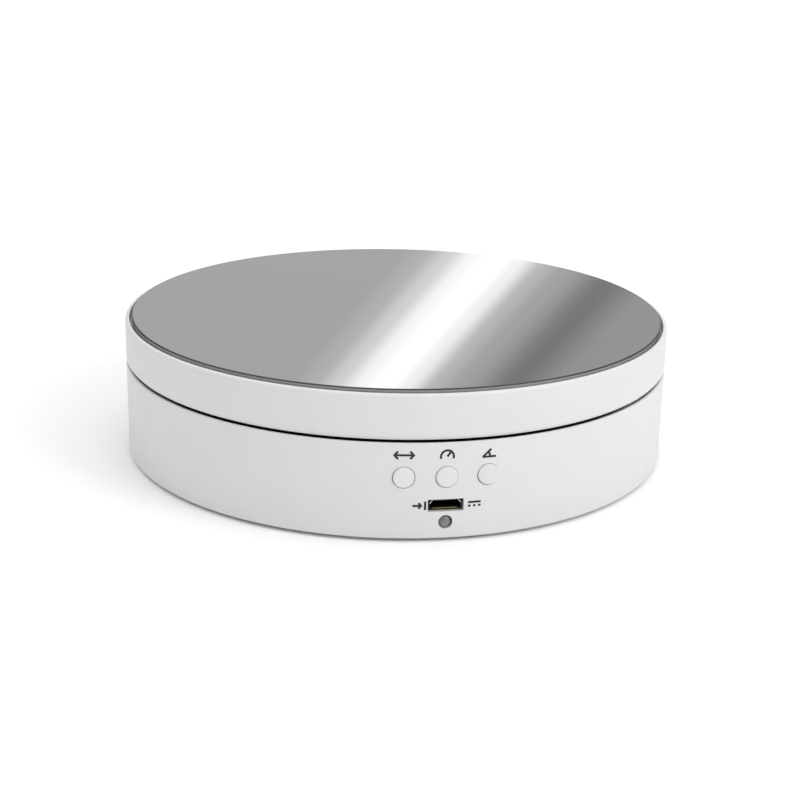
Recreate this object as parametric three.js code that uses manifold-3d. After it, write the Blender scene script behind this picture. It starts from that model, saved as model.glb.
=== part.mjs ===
// Motorised turntable display stand: a round mirror-topped platter that a geared stepper turns on a
// fixed centre spindle and a ring of balls, over a drum-shaped base with three push buttons and a
// micro-USB power inlet. Millimetres, +Z up, origin on the ground under the spindle, panel towards -Y.
import * as THREE from 'three';
import { mergeVertices } from 'three/addons/utils/BufferGeometryUtils.js';
import Module from 'manifold-3d';

const wasm = await Module();
wasm.setup();

// ---- Driving dimensions -------------------------------------------------------------------------
const OUTER_RADIUS = 69; // drum and platter, 138 across
const HEIGHT = 35; // ground to mirror face
const SEAM_HEIGHT = 23.4; // middle of the slit between base and platter
const SEAM_GAP = 0.6;
const GROOVE_HEIGHT = 0.7; // shadow groove round the platter skirt's lower edge
const GROOVE_DEPTH = 0.6;
const FOOT_PROUD = 0.5; // feet below the base's lower edge
const WALL = 2.2; // moulded outer walls
const PLATE = 2; // moulded decks and webs
const FIT = 0.1; // gap between neighbours that are seated together
const RUN = 0.08; // radial running clearance of spindle and shaft
const LARGE_SIDES = 64; // facets of the drum-sized rounds
const MEDIUM_SIDES = 32;
const SMALL_SIDES = 16;
const SCREW_SIDES = 10;

// ---- Heights ------------------------------------------------------------------------------------
const BASE_BOTTOM = FOOT_PROUD;
const BASE_TOP = SEAM_HEIGHT - SEAM_GAP / 2;
const SKIRT_BOTTOM = SEAM_HEIGHT + SEAM_GAP / 2;
const DECK_TOP = BASE_TOP - 1;
const DECK_BOTTOM = DECK_TOP - PLATE;
const COVER_TOP = BASE_BOTTOM + 1.8;
const MIRROR_THICKNESS = 1.8;
const MIRROR_BOTTOM = HEIGHT - MIRROR_THICKNESS;
const PAD_THICKNESS = 0.4;
const PAD_BOTTOM = MIRROR_BOTTOM - FIT - PAD_THICKNESS;
const RIM_TOP = HEIGHT - 0.75;
const WEB_TOP = PAD_BOTTOM - FIT;
const WEB_BOTTOM = WEB_TOP - PLATE;

// ---- Radii of the base's rim --------------------------------------------------------------------
const WALL_INNER = OUTER_RADIUS - WALL;
const LIP_OUTER = WALL_INNER - 1.4;
const LIP_INNER = LIP_OUTER - 1.2;

// ---- Colours ------------------------------------------------------------------------------------
const WHITE_ABS = { color: 0xe9e9e8, roughness: 0.5, metalness: 0 };
const WHITE_BUTTON = { color: 0xededec, roughness: 0.45, metalness: 0 };
const MIRROR = { color: 0xc9cbcc, roughness: 0.03, metalness: 1 };
const FOAM_TAPE = { color: 0xd8d8d4, roughness: 0.9, metalness: 0 };
const BLACK_RUBBER = { color: 0x2a2a2b, roughness: 0.85, metalness: 0 };
const STEEL = { color: 0xb4b6b8, roughness: 0.3, metalness: 1 };
const ZINC = { color: 0xc0c2c4, roughness: 0.35, metalness: 1 };
const NATURAL_ACETAL = { color: 0xe4e1d8, roughness: 0.5, metalness: 0 };
const BRASS = { color: 0xb89a55, roughness: 0.35, metalness: 1 };
const BLACK_FELT = { color: 0x141414, roughness: 1, metalness: 0 };
const BLACK_PLASTIC = { color: 0x1b1b1c, roughness: 0.5, metalness: 0 };
const GREEN_LAMINATE = { color: 0x1f5a37, roughness: 0.45, metalness: 0 };
const BLUE_NYLON = { color: 0x2d56a4, roughness: 0.5, metalness: 0 };
const DIFFUSED_EPOXY = { color: 0xb9bcb8, roughness: 0.35, metalness: 0 };
const ALUMINIUM = { color: 0xc7c9cb, roughness: 0.4, metalness: 1 };

// ---- Solids -------------------------------------------------------------------------------------
function toManifold(geometry) {
  const bare = geometry.index ? geometry.clone() : mergeVertices(geometry.clone());
  bare.deleteAttribute('normal');
  bare.deleteAttribute('uv');
  const merged = mergeVertices(bare, 1e-4);
  const mesh = new wasm.Mesh({
    numProp: 3,
    vertProperties: Float32Array.from(merged.attributes.position.array),
    triVerts: Uint32Array.from(merged.index.array),
  });
  return new wasm.Manifold(mesh);
}

function toGeometry(manifold) {
  const mesh = manifold.getMesh();
  const geometry = new THREE.BufferGeometry();
  geometry.setAttribute('position', new THREE.BufferAttribute(mesh.vertProperties, 3));
  geometry.setIndex(new THREE.BufferAttribute(mesh.triVerts, 1));
  return geometry;
}

function combine(start, added, removed) {
  let solid = toManifold(start);
  for (const geometry of added) solid = solid.add(toManifold(geometry));
  for (const geometry of removed) solid = solid.subtract(toManifold(geometry));
  return toGeometry(solid);
}

function signedArea(points) {
  let area = 0;
  points.forEach(([r, z], i) => {
    const [nextR, nextZ] = points[(i + 1) % points.length];
    area += r * nextZ - nextR * z;
  });
  return area / 2;
}

// A solid of revolution about Z, from a closed outline of [radius, height] points.
function turned(outline, sides) {
  const points = signedArea(outline) > 0 ? outline : outline.slice().reverse();
  const start = Math.max(0, points.findIndex(([r], i) => r === 0 && points.at(i - 1)[0] === 0));
  const ordered = points.slice(start).concat(points.slice(0, start));
  const loop = ordered.map(([r, z]) => new THREE.Vector2(r, z));
  if (ordered[0][0] > 0) loop.push(loop[0].clone());
  return new THREE.LatheGeometry(loop, sides).rotateX(Math.PI / 2);
}

function rod(radius, bottom, top, sides = SMALL_SIDES) {
  return turned([[0, bottom], [radius, bottom], [radius, top], [0, top]], sides);
}

function ring(innerRadius, outerRadius, bottom, top, sides) {
  const outline = [[innerRadius, bottom], [outerRadius, bottom], [outerRadius, top], [innerRadius, top]];
  return turned(outline, sides);
}

function block(width, depth, height, x, y, z) {
  return new THREE.BoxGeometry(width, depth, height).translate(x, y, z);
}

function extruded(shape, bottom, top, curveSegments = 12) {
  const settings = { depth: top - bottom, bevelEnabled: false, curveSegments };
  return new THREE.ExtrudeGeometry(shape, settings).translate(0, 0, bottom);
}

function circlePath(x, y, radius, sides = SMALL_SIDES) {
  const points = [];
  for (let i = 0; i < sides; i += 1) {
    const angle = (-2 * Math.PI * i) / sides;
    points.push(new THREE.Vector2(x + radius * Math.cos(angle), y + radius * Math.sin(angle)));
  }
  return new THREE.Path(points);
}

// Turns a solid built along +Z so that its +Z end faces the front of the stand, -Y.
function facingFront(geometry, x, z) {
  return geometry.rotateX(Math.PI / 2).translate(x, 0, z);
}

function onCircle(radius, count, firstAngle) {
  return Array.from({ length: count }, (_, i) => {
    const angle = firstAngle + (2 * Math.PI * i) / count;
    return { x: radius * Math.cos(angle), y: radius * Math.sin(angle), angle };
  });
}

// ---- The stand ----------------------------------------------------------------------------------
const stand = new THREE.Group();

function addPiece(name, geometry, finish) {
  const mesh = new THREE.Mesh(geometry, new THREE.MeshStandardMaterial(finish));
  mesh.name = name;
  stand.add(mesh);
  return mesh;
}

// A cross-recess screw: the head stands on z = 0 upwards and the shank hangs below.
function screwGeometry(headRadius, headHeight, shankRadius, shankLength) {
  const crown = headHeight * 0.35;
  const outline = [
    [0, -shankLength],
    [shankRadius * 0.6, -shankLength],
    [shankRadius, -shankLength + shankRadius * 0.8],
    [shankRadius, 0],
    [headRadius, 0],
    [headRadius, headHeight - crown],
    [headRadius * 0.75, headHeight],
    [0, headHeight],
  ];
  const slotLength = headRadius * 1.1;
  const slotWidth = headRadius * 0.28;
  const slotDepth = headHeight * 1.2;
  const slots = [
    block(slotLength, slotWidth, slotDepth, 0, 0, headHeight),
    block(slotWidth, slotLength, slotDepth, 0, 0, headHeight),
  ];
  return combine(turned(outline, SCREW_SIDES), [], slots);
}

// ---- Gears --------------------------------------------------------------------------------------
const MODULE = 0.8;
const PINION_TEETH = 18;
const PLATTER_TEETH = 54;
const PRESSURE_ANGLE = THREE.MathUtils.degToRad(20);
const BACKLASH = 0.2;
const GEAR_CENTRES = (MODULE * (PINION_TEETH + PLATTER_TEETH)) / 2;
const GEAR_BOTTOM = DECK_TOP + 2.8;
const GEAR_TOP = GEAR_BOTTOM + 4;

function involuteShape(teeth, rotation) {
  const pitch = (MODULE * teeth) / 2;
  const base = pitch * Math.cos(PRESSURE_ANGLE);
  const tip = pitch + MODULE * 0.9;
  const root = pitch - MODULE * 1.25;
  const rollAt = (radius) => Math.sqrt(Math.max(0, (radius / base) ** 2 - 1));
  const involute = (radius) => rollAt(radius) - Math.atan(rollAt(radius));
  const halfTooth = Math.PI / (2 * teeth) - BACKLASH / (4 * pitch) + involute(pitch);
  const flank = [root, Math.max(base, root), pitch, tip];
  const points = [];
  for (let i = 0; i < teeth; i += 1) {
    const middle = rotation + (2 * Math.PI * i) / teeth;
    const rising = flank.map((radius) => [radius, middle - halfTooth + involute(radius)]);
    const falling = flank.map((radius) => [radius, middle + halfTooth - involute(radius)]).reverse();
    for (const [radius, angle] of rising.concat(falling)) {
      points.push(new THREE.Vector2(radius * Math.cos(angle), radius * Math.sin(angle)));
    }
  }
  return new THREE.Shape(points);
}

// ---- Control panel places, on the front of the drum ---------------------------------------------
const BUTTON_PITCH = 9.5;
const BUTTON_HEIGHT = 15.1;
const BUTTON_RADIUS = 2.45;
const BUTTON_PROUD = 0.35;
const BUTTON_NAMES = ['left', 'middle', 'right'];
const USB_HEIGHT = 8.4;
const LED_HEIGHT = 4.45;
const LED_RADIUS = 1.5;
const BOARD_FRONT = -60;
const BOARD_THICKNESS = 1.6;
const BOARD_BACK = BOARD_FRONT + BOARD_THICKNESS;
const BOARD_POST_X = 17;
const BOARD_POST_HEIGHT = 11.5;

// ---- Drive motor place --------------------------------------------------------------------------
const SHAFT_Y = GEAR_CENTRES;
const SHAFT_RADIUS = 2.5;
const CAN_RADIUS = 14;
const CAN_HEIGHT = 18;
const CAN_Y = SHAFT_Y + 8; // the output shaft stands off the can's centre
const EAR_X = 17.5;
const FLANGE_THICKNESS = 0.8;
const FLANGE_TOP = DECK_TOP + FIT + FLANGE_THICKNESS;

// ---- Ball ring ----------------------------------------------------------------------------------
const BALL_RING_RADIUS = 56;
const BALL_RADIUS = 2;
const BALL_COUNT = 8;
const RACE_HALF_WIDTH = 3;
const RACE_THICKNESS = 0.8;
const LOWER_RACE_BOTTOM = DECK_TOP + FIT;
const BALL_CENTRE = LOWER_RACE_BOTTOM + RACE_THICKNESS + BALL_RADIUS + FIT / 2;
const UPPER_RACE_BOTTOM = BALL_CENTRE + BALL_RADIUS + FIT / 2;
const RACE_RIB_BOTTOM = UPPER_RACE_BOTTOM + RACE_THICKNESS + FIT;

// ---- Spindle and hub ----------------------------------------------------------------------------
const SPINDLE_RADIUS = 3;
const SPINDLE_BOTTOM = 16.8;
const SHOULDER_TOP = BASE_TOP;
const BUSH_RADIUS = 5;
const BUSH_FLANGE_RADIUS = 7.8;
const BUSH_FLANGE_THICKNESS = 0.7;
const POCKET_FLOOR = WEB_TOP - 2.7;
const BUSH_TOP = POCKET_FLOOR + FIT / 2 + BUSH_FLANGE_THICKNESS;
const SPINDLE_TOP = BUSH_TOP + 0.15;
const HUB_RADIUS = 9.2;

// ---- Fasteners ----------------------------------------------------------------------------------
const COVER_SCREW_CIRCLE = 58;
const COVER_SCREW_SHANK = 1.3;
const COVER_SCREW_HEAD = 2.8;
const COVER_SCREW_RECESS = 1;
const GEAR_SCREW_CIRCLE = 15;
const GEAR_SCREW_SHANK = 1;
const FOOT_CIRCLE = 56;
const FOOT_RADIUS = 6;

const coverScrewPlaces = onCircle(COVER_SCREW_CIRCLE, 4, Math.PI / 4);
const footPlaces = onCircle(FOOT_CIRCLE, 4, 0);
const gearScrewPlaces = onCircle(GEAR_SCREW_CIRCLE, 3, Math.PI / 2);
const ballPlaces = onCircle(BALL_RING_RADIUS, BALL_COUNT, Math.PI / BALL_COUNT);

// ---- Base ---------------------------------------------------------------------------------------
function makeBaseShell() {
  const lipTop = DECK_TOP + 3.6;
  const edge = 0.4;
  const spindleHole = SPINDLE_RADIUS + FIT;
  const bossRadius = SPINDLE_RADIUS + 4;
  const outline = [
    [WALL_INNER, BASE_BOTTOM],
    [OUTER_RADIUS - edge, BASE_BOTTOM],
    [OUTER_RADIUS, BASE_BOTTOM + edge],
    [OUTER_RADIUS, BASE_TOP - edge],
    [OUTER_RADIUS - edge, BASE_TOP],
    [WALL_INNER, DECK_TOP],
    [LIP_OUTER, DECK_TOP],
    [LIP_OUTER, lipTop],
    [LIP_INNER, lipTop],
    [LIP_INNER, DECK_TOP],
    [spindleHole, DECK_TOP],
    [spindleHole, SPINDLE_BOTTOM],
    [bossRadius, SPINDLE_BOTTOM],
    [bossRadius, DECK_BOTTOM],
    [WALL_INNER, DECK_BOTTOM],
  ];
  const added = [];
  const canHole = rod(CAN_RADIUS + 0.3, DECK_BOTTOM - 1, DECK_TOP + 1, MEDIUM_SIDES);
  const removed = [canHole.translate(0, CAN_Y, 0)];
  const wallStart = WALL_INNER - WALL;
  const wallEnd = OUTER_RADIUS + 1;

  for (const { x, y } of coverScrewPlaces) {
    added.push(rod(3.4, COVER_TOP + FIT, DECK_BOTTOM + FIT).translate(x, y, 0));
    removed.push(rod(COVER_SCREW_SHANK + 0.15, COVER_TOP, COVER_TOP + 9).translate(x, y, 0));
  }
  for (const side of [-1, 1]) {
    const motorScrewX = side * EAR_X;
    added.push(rod(3, DECK_BOTTOM - 4, DECK_BOTTOM + FIT).translate(motorScrewX, CAN_Y, 0));
    removed.push(rod(1.35, DECK_BOTTOM - 3, DECK_TOP + 1).translate(motorScrewX, CAN_Y, 0));
    const postX = side * BOARD_POST_X;
    added.push(facingFront(rod(2.4, -BOARD_FRONT + FIT, WALL_INNER - 0.8), postX, BOARD_POST_HEIGHT));
    removed.push(facingFront(rod(0.95, -BOARD_FRONT - 1, -BOARD_FRONT + 4.5), postX, BOARD_POST_HEIGHT));
  }
  BUTTON_NAMES.forEach((_, i) => {
    const hole = rod(BUTTON_RADIUS + 0.15, wallStart, wallEnd, 24);
    removed.push(facingFront(hole, (i - 1) * BUTTON_PITCH, BUTTON_HEIGHT));
  });
  removed.push(block(8.1, wallEnd - wallStart, 2.9, 0, -(wallStart + wallEnd) / 2, USB_HEIGHT));
  removed.push(facingFront(rod(LED_RADIUS + 0.1, wallStart, wallEnd, 20), 0, LED_HEIGHT));
  addPiece('base_shell', combine(turned(outline, LARGE_SIDES), added, removed), WHITE_ABS);
}

// A felt ring on the deck behind the slit keeps dust and light out of the case.
function makeDustSeal() {
  const top = SKIRT_BOTTOM - 0.3;
  const seal = ring(LIP_OUTER + 0.2, WALL_INNER - 0.2, DECK_TOP + FIT, top, LARGE_SIDES);
  addPiece('dust_seal', seal, BLACK_FELT);
}

function makeBottomCover() {
  const radius = WALL_INNER - 0.4;
  const disc = rod(radius, BASE_BOTTOM, COVER_TOP, LARGE_SIDES);
  const removed = [];
  for (const { x, y } of coverScrewPlaces) {
    removed.push(rod(COVER_SCREW_SHANK + 0.3, BASE_BOTTOM - 1, COVER_TOP + 1).translate(x, y, 0));
    const recess = rod(COVER_SCREW_HEAD + 0.3, BASE_BOTTOM - 1, BASE_BOTTOM + COVER_SCREW_RECESS);
    removed.push(recess.translate(x, y, 0));
  }
  for (const { x, y } of footPlaces) {
    removed.push(rod(FOOT_RADIUS + 0.2, BASE_BOTTOM - 1, BASE_BOTTOM + 1, 24).translate(x, y, 0));
  }
  addPiece('bottom_cover', combine(disc, [], removed), WHITE_ABS);
}

function makeFeet() {
  footPlaces.forEach(({ x, y }, i) => {
    const top = BASE_BOTTOM + 1 - FIT;
    const outline = [[0, 0], [FOOT_RADIUS - 0.4, 0], [FOOT_RADIUS, 0.4], [FOOT_RADIUS, top], [0, top]];
    addPiece(`rubber_foot_${i + 1}`, turned(outline, 24).translate(x, y, 0), BLACK_RUBBER);
  });
}

function makeCoverScrews() {
  coverScrewPlaces.forEach(({ x, y }, i) => {
    const seat = BASE_BOTTOM + COVER_SCREW_RECESS - FIT;
    const screw = screwGeometry(COVER_SCREW_HEAD, seat - BASE_BOTTOM, COVER_SCREW_SHANK, 9);
    addPiece(`cover_screw_${i + 1}`, screw.rotateX(Math.PI).translate(x, y, seat), ZINC);
  });
}

// ---- Spindle ------------------------------------------------------------------------------------
function makeSpindle() {
  const thread = 1.6;
  const threadFloor = SPINDLE_TOP - 8;
  const shoulder = SPINDLE_RADIUS + 2.5;
  const outline = [
    [0, SPINDLE_BOTTOM],
    [SPINDLE_RADIUS, SPINDLE_BOTTOM],
    [SPINDLE_RADIUS, DECK_TOP + FIT],
    [shoulder, DECK_TOP + FIT],
    [shoulder, SHOULDER_TOP],
    [SPINDLE_RADIUS, SHOULDER_TOP],
    [SPINDLE_RADIUS, SPINDLE_TOP],
    [thread, SPINDLE_TOP],
    [thread, threadFloor],
    [0, threadFloor],
  ];
  addPiece('centre_spindle', turned(outline, MEDIUM_SIDES), STEEL);
  const washerBottom = SPINDLE_TOP + FIT / 2;
  const washerTop = washerBottom + 0.5;
  addPiece('spindle_washer', ring(1.7, 6.2, washerBottom, washerTop, 24), STEEL);
  const screw = screwGeometry(2.7, 1.2, 1.45, 7).translate(0, 0, washerTop + FIT / 2);
  addPiece('spindle_screw', screw, ZINC);
}

// ---- Platter ------------------------------------------------------------------------------------
function makeTurntableCap() {
  const recess = OUTER_RADIUS - 1.25;
  const inner = WALL_INNER + 0.1;
  const edge = 0.15;
  const round = 1;
  const ribHalf = RACE_HALF_WIDTH - 1.2;
  const roundSteps = 3;
  const outline = [
    [inner, SKIRT_BOTTOM],
    [OUTER_RADIUS - GROOVE_DEPTH, SKIRT_BOTTOM],
    [OUTER_RADIUS - GROOVE_DEPTH, SKIRT_BOTTOM + GROOVE_HEIGHT],
    [OUTER_RADIUS - edge, SKIRT_BOTTOM + GROOVE_HEIGHT],
    [OUTER_RADIUS, SKIRT_BOTTOM + GROOVE_HEIGHT + edge],
  ];
  for (let i = 0; i <= roundSteps; i += 1) {
    const angle = (Math.PI / 2) * (i / roundSteps);
    const radius = OUTER_RADIUS - round + round * Math.cos(angle);
    outline.push([radius, RIM_TOP - round + round * Math.sin(angle)]);
  }
  outline.push(
    [recess, RIM_TOP],
    [recess, WEB_TOP],
    [BUSH_FLANGE_RADIUS + 0.3, WEB_TOP],
    [BUSH_FLANGE_RADIUS + 0.3, POCKET_FLOOR],
    [BUSH_RADIUS + FIT, POCKET_FLOOR],
    [BUSH_RADIUS + FIT, SKIRT_BOTTOM],
    [HUB_RADIUS, SKIRT_BOTTOM],
    [HUB_RADIUS, WEB_BOTTOM],
    [BALL_RING_RADIUS - ribHalf, WEB_BOTTOM],
    [BALL_RING_RADIUS - ribHalf, RACE_RIB_BOTTOM],
    [BALL_RING_RADIUS + ribHalf, RACE_RIB_BOTTOM],
    [BALL_RING_RADIUS + ribHalf, WEB_BOTTOM],
    [inner, WEB_BOTTOM],
  );
  const added = [];
  const removed = [];
  for (const { x, y } of gearScrewPlaces) {
    added.push(rod(2.6, GEAR_TOP + FIT, WEB_BOTTOM + FIT).translate(x, y, 0));
    removed.push(rod(GEAR_SCREW_SHANK + 0.15, GEAR_TOP, WEB_TOP - 0.6).translate(x, y, 0));
  }
  addPiece('turntable_cap', combine(turned(outline, LARGE_SIDES), added, removed), WHITE_ABS);
}

function makeMirror() {
  const radius = OUTER_RADIUS - 1.6;
  const bevel = 0.3;
  const outline = [
    [0, MIRROR_BOTTOM],
    [radius, MIRROR_BOTTOM],
    [radius, HEIGHT - bevel],
    [radius - bevel, HEIGHT],
    [0, HEIGHT],
  ];
  addPiece('mirror_disc', turned(outline, LARGE_SIDES), MIRROR);
  const pad = ring(12, radius - 2, PAD_BOTTOM, PAD_BOTTOM + PAD_THICKNESS, LARGE_SIDES);
  addPiece('mirror_pad', pad, FOAM_TAPE);
}

function makeHubBush() {
  const bore = SPINDLE_RADIUS + RUN;
  const outline = [
    [bore, SHOULDER_TOP + 0.15],
    [BUSH_RADIUS, SHOULDER_TOP + 0.15],
    [BUSH_RADIUS, POCKET_FLOOR + FIT / 2],
    [BUSH_FLANGE_RADIUS, POCKET_FLOOR + FIT / 2],
    [BUSH_FLANGE_RADIUS, BUSH_TOP],
    [bore, BUSH_TOP],
  ];
  addPiece('hub_bush', turned(outline, MEDIUM_SIDES), BRASS);
}

function makePlatterGear() {
  const shape = involuteShape(PLATTER_TEETH, Math.PI / 2);
  shape.holes.push(circlePath(0, 0, HUB_RADIUS + FIT, MEDIUM_SIDES));
  for (const { x, y } of gearScrewPlaces) {
    shape.holes.push(circlePath(x, y, GEAR_SCREW_SHANK + 0.2, 12));
  }
  addPiece('platter_gear', extruded(shape, GEAR_BOTTOM, GEAR_TOP), NATURAL_ACETAL);
  gearScrewPlaces.forEach(({ x, y }, i) => {
    const screw = screwGeometry(2.1, 1.1, GEAR_SCREW_SHANK, 6).rotateX(Math.PI);
    addPiece(`gear_screw_${i + 1}`, screw.translate(x, y, GEAR_BOTTOM - FIT), ZINC);
  });
}

// ---- Ball ring ----------------------------------------------------------------------------------
function makeBallRing() {
  const innerRadius = BALL_RING_RADIUS - RACE_HALF_WIDTH;
  const outerRadius = BALL_RING_RADIUS + RACE_HALF_WIDTH;
  const lower = ring(innerRadius, outerRadius, LOWER_RACE_BOTTOM, LOWER_RACE_BOTTOM + RACE_THICKNESS, 48);
  addPiece('lower_race', lower, STEEL);
  const upper = lower.clone().translate(0, 0, UPPER_RACE_BOTTOM - LOWER_RACE_BOTTOM);
  addPiece('upper_race', upper, STEEL);

  const outerPath = circlePath(0, 0, outerRadius - 0.2, 48).getPoints().reverse();
  const cage = new THREE.Shape(outerPath);
  cage.holes.push(circlePath(0, 0, innerRadius + 0.2, 48));
  for (const { x, y } of ballPlaces) cage.holes.push(circlePath(x, y, BALL_RADIUS + 0.15, 12));
  addPiece('ball_cage', extruded(cage, BALL_CENTRE - 0.9, BALL_CENTRE + 0.9), BLACK_PLASTIC);
  ballPlaces.forEach(({ x, y }, i) => {
    const ball = new THREE.SphereGeometry(BALL_RADIUS, 12, 8);
    addPiece(`bearing_ball_${i + 1}`, ball.rotateX(Math.PI / 2).translate(x, y, BALL_CENTRE), STEEL);
  });
}

// ---- Geared stepper -----------------------------------------------------------------------------
function makeMotor() {
  const canTop = DECK_TOP + FIT / 2;
  const canBottom = canTop - CAN_HEIGHT;
  const blindHole = rod(SHAFT_RADIUS + RUN + 0.1, canTop - 4, canTop + 1, 20).translate(0, SHAFT_Y, 0);
  const can = rod(CAN_RADIUS, canBottom, canTop, MEDIUM_SIDES).translate(0, CAN_Y, 0);
  addPiece('motor_can', combine(can, [], [blindHole]), ZINC);

  const ears = new THREE.Shape();
  ears.absarc(-EAR_X, 0, 3.5, Math.PI / 2, (3 * Math.PI) / 2);
  ears.absarc(EAR_X, 0, 3.5, -Math.PI / 2, Math.PI / 2);
  const earPlate = extruded(ears, FLANGE_TOP - FLANGE_THICKNESS, FLANGE_TOP, 8).translate(0, CAN_Y, 0);
  const face = rod(CAN_RADIUS, FLANGE_TOP - FLANGE_THICKNESS, FLANGE_TOP, MEDIUM_SIDES);
  const collar = rod(4.5, FLANGE_TOP - FLANGE_THICKNESS, FLANGE_TOP + 1.2, 20);
  const shaftHole = rod(SHAFT_RADIUS + RUN, FLANGE_TOP - 2, FLANGE_TOP + 2, 20);
  const earHole = (side) => rod(1.7, FLANGE_TOP - 2, FLANGE_TOP + 1).translate(side * EAR_X, CAN_Y, 0);
  const flange = combine(
    earPlate,
    [face.translate(0, CAN_Y, 0), collar.translate(0, SHAFT_Y, 0)],
    [shaftHole.translate(0, SHAFT_Y, 0), earHole(-1), earHole(1)],
  );
  addPiece('motor_flange', flange, ZINC);
  ['left', 'right'].forEach((side, i) => {
    const screw = screwGeometry(2.4, 1.5, 1.2, 5);
    addPiece(`motor_screw_${side}`, screw.translate((2 * i - 1) * EAR_X, CAN_Y, FLANGE_TOP + FIT), ZINC);
  });
  const coverY = CAN_Y + CAN_RADIUS + 1.4;
  addPiece('motor_terminal_cover', block(14, 2.4, 7, 0, coverY, canBottom + 4.5), BLUE_NYLON);
}

function makePinion() {
  const shaftTop = GEAR_TOP + 0.4;
  const shaft = rod(SHAFT_RADIUS, FLANGE_TOP - 3, shaftTop, 20).translate(0, SHAFT_Y, 0);
  addPiece('motor_shaft', shaft, STEEL);
  const halfToothTurn = Math.PI / PINION_TEETH;
  const shape = involuteShape(PINION_TEETH, -Math.PI / 2 + halfToothTurn);
  shape.holes.push(circlePath(0, 0, SHAFT_RADIUS + FIT, 20));
  const pinion = extruded(shape, GEAR_BOTTOM - 0.2, GEAR_TOP + 0.2).translate(0, SHAFT_Y, 0);
  addPiece('drive_pinion', pinion, NATURAL_ACETAL);
}

// The five motor wires, laced as one lead, along the floor of the base from motor to board.
function makeMotorLead(connectorX, connectorZ, connectorBack) {
  const floor = COVER_TOP + 2;
  const route = new THREE.CatmullRomCurve3([
    new THREE.Vector3(6, CAN_Y + CAN_RADIUS + 4.2, 8.6),
    new THREE.Vector3(12, CAN_Y + CAN_RADIUS + 2.5, 6.5),
    new THREE.Vector3(20, CAN_Y + 4, floor),
    new THREE.Vector3(20, 10, floor),
    new THREE.Vector3(14, -24, floor),
    new THREE.Vector3(connectorX, connectorBack + 9, connectorZ - 1),
    new THREE.Vector3(connectorX, connectorBack + 0.3, connectorZ),
  ]);
  const section = new THREE.Shape(circlePath(0, 0, 1.1, 8).getPoints().reverse());
  const lead = new THREE.ExtrudeGeometry(section, { steps: 40, bevelEnabled: false, extrudePath: route });
  addPiece('motor_lead', lead, BLACK_PLASTIC);
}

// ---- Control board ------------------------------------------------------------------------------
function makeBoard() {
  const bottom = COVER_TOP + 0.7;
  const top = DECK_BOTTOM - 0.8;
  const middleY = BOARD_FRONT + BOARD_THICKNESS / 2;
  const blank = block(40, BOARD_THICKNESS, top - bottom, 0, middleY, (top + bottom) / 2);
  const holes = [-1, 1].map((side) => {
    const hole = rod(1.1, -BOARD_BACK - 1, -BOARD_FRONT + 1);
    return facingFront(hole, side * BOARD_POST_X, BOARD_POST_HEIGHT);
  });
  addPiece('control_board', combine(blank, [], holes), GREEN_LAMINATE);
  ['left', 'right'].forEach((side, i) => {
    const screw = screwGeometry(1.9, 1.1, 0.8, 5.5).rotateX(-Math.PI / 2);
    screw.translate((2 * i - 1) * BOARD_POST_X, BOARD_BACK + FIT, BOARD_POST_HEIGHT);
    addPiece(`board_screw_${side}`, screw, ZINC);
  });

  const onBack = (width, depth, height, x, z) => {
    return block(width, depth, height, x, BOARD_BACK + FIT + depth / 2, z);
  };
  addPiece('controller_chip', onBack(5, 1.5, 4, -11, 16), BLACK_PLASTIC);
  addPiece('driver_chip', onBack(10, 1.5, 4, 0, 16), BLACK_PLASTIC);
  const connectorX = 8;
  const connectorZ = 8;
  const connectorDepth = 5.8;
  addPiece('motor_connector', onBack(12.5, connectorDepth, 5.5, connectorX, connectorZ), WHITE_ABS);
  const can = rod(2.5, 0, 5.4, 20).rotateX(-Math.PI / 2).translate(-7, BOARD_BACK + FIT, 8);
  addPiece('filter_capacitor', can, ALUMINIUM);
  makeMotorLead(connectorX, connectorZ, BOARD_BACK + FIT + connectorDepth);
}

function makeUsbSocket() {
  const halfWidth = 3.75;
  const halfHeight = 1.25;
  const bevel = 0.95;
  const sheet = 0.3;
  const outline = (inset) => {
    const w = halfWidth - inset;
    const h = halfHeight - inset;
    const cut = bevel - inset * 0.4;
    return [[-w, -h], [w, -h], [w, h - cut], [w - cut, h], [-w + cut, h], [-w, h - cut]];
  };
  const mouth = OUTER_RADIUS - 0.7;
  const rear = -BOARD_FRONT + FIT;
  const vectors = (points) => points.map(([x, z]) => new THREE.Vector2(x, z));
  const outer = new THREE.Shape(vectors(outline(0)));
  const inner = new THREE.Shape(vectors(outline(sheet)));
  const shell = combine(extruded(outer, rear, mouth), [], [extruded(inner, rear + 1, mouth + 1)]);
  // extruded along +Z, the outline's second axis turns to +Z when the solid is stood facing the front
  addPiece('usb_shell', facingFront(shell, 0, USB_HEIGHT), STEEL);
  const tongue = block(3.6, 4.6, 0.6, 0, -(rear + 1 + FIT + 2.3), USB_HEIGHT + 0.3);
  addPiece('usb_tongue', tongue, BLACK_PLASTIC);
}

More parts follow.
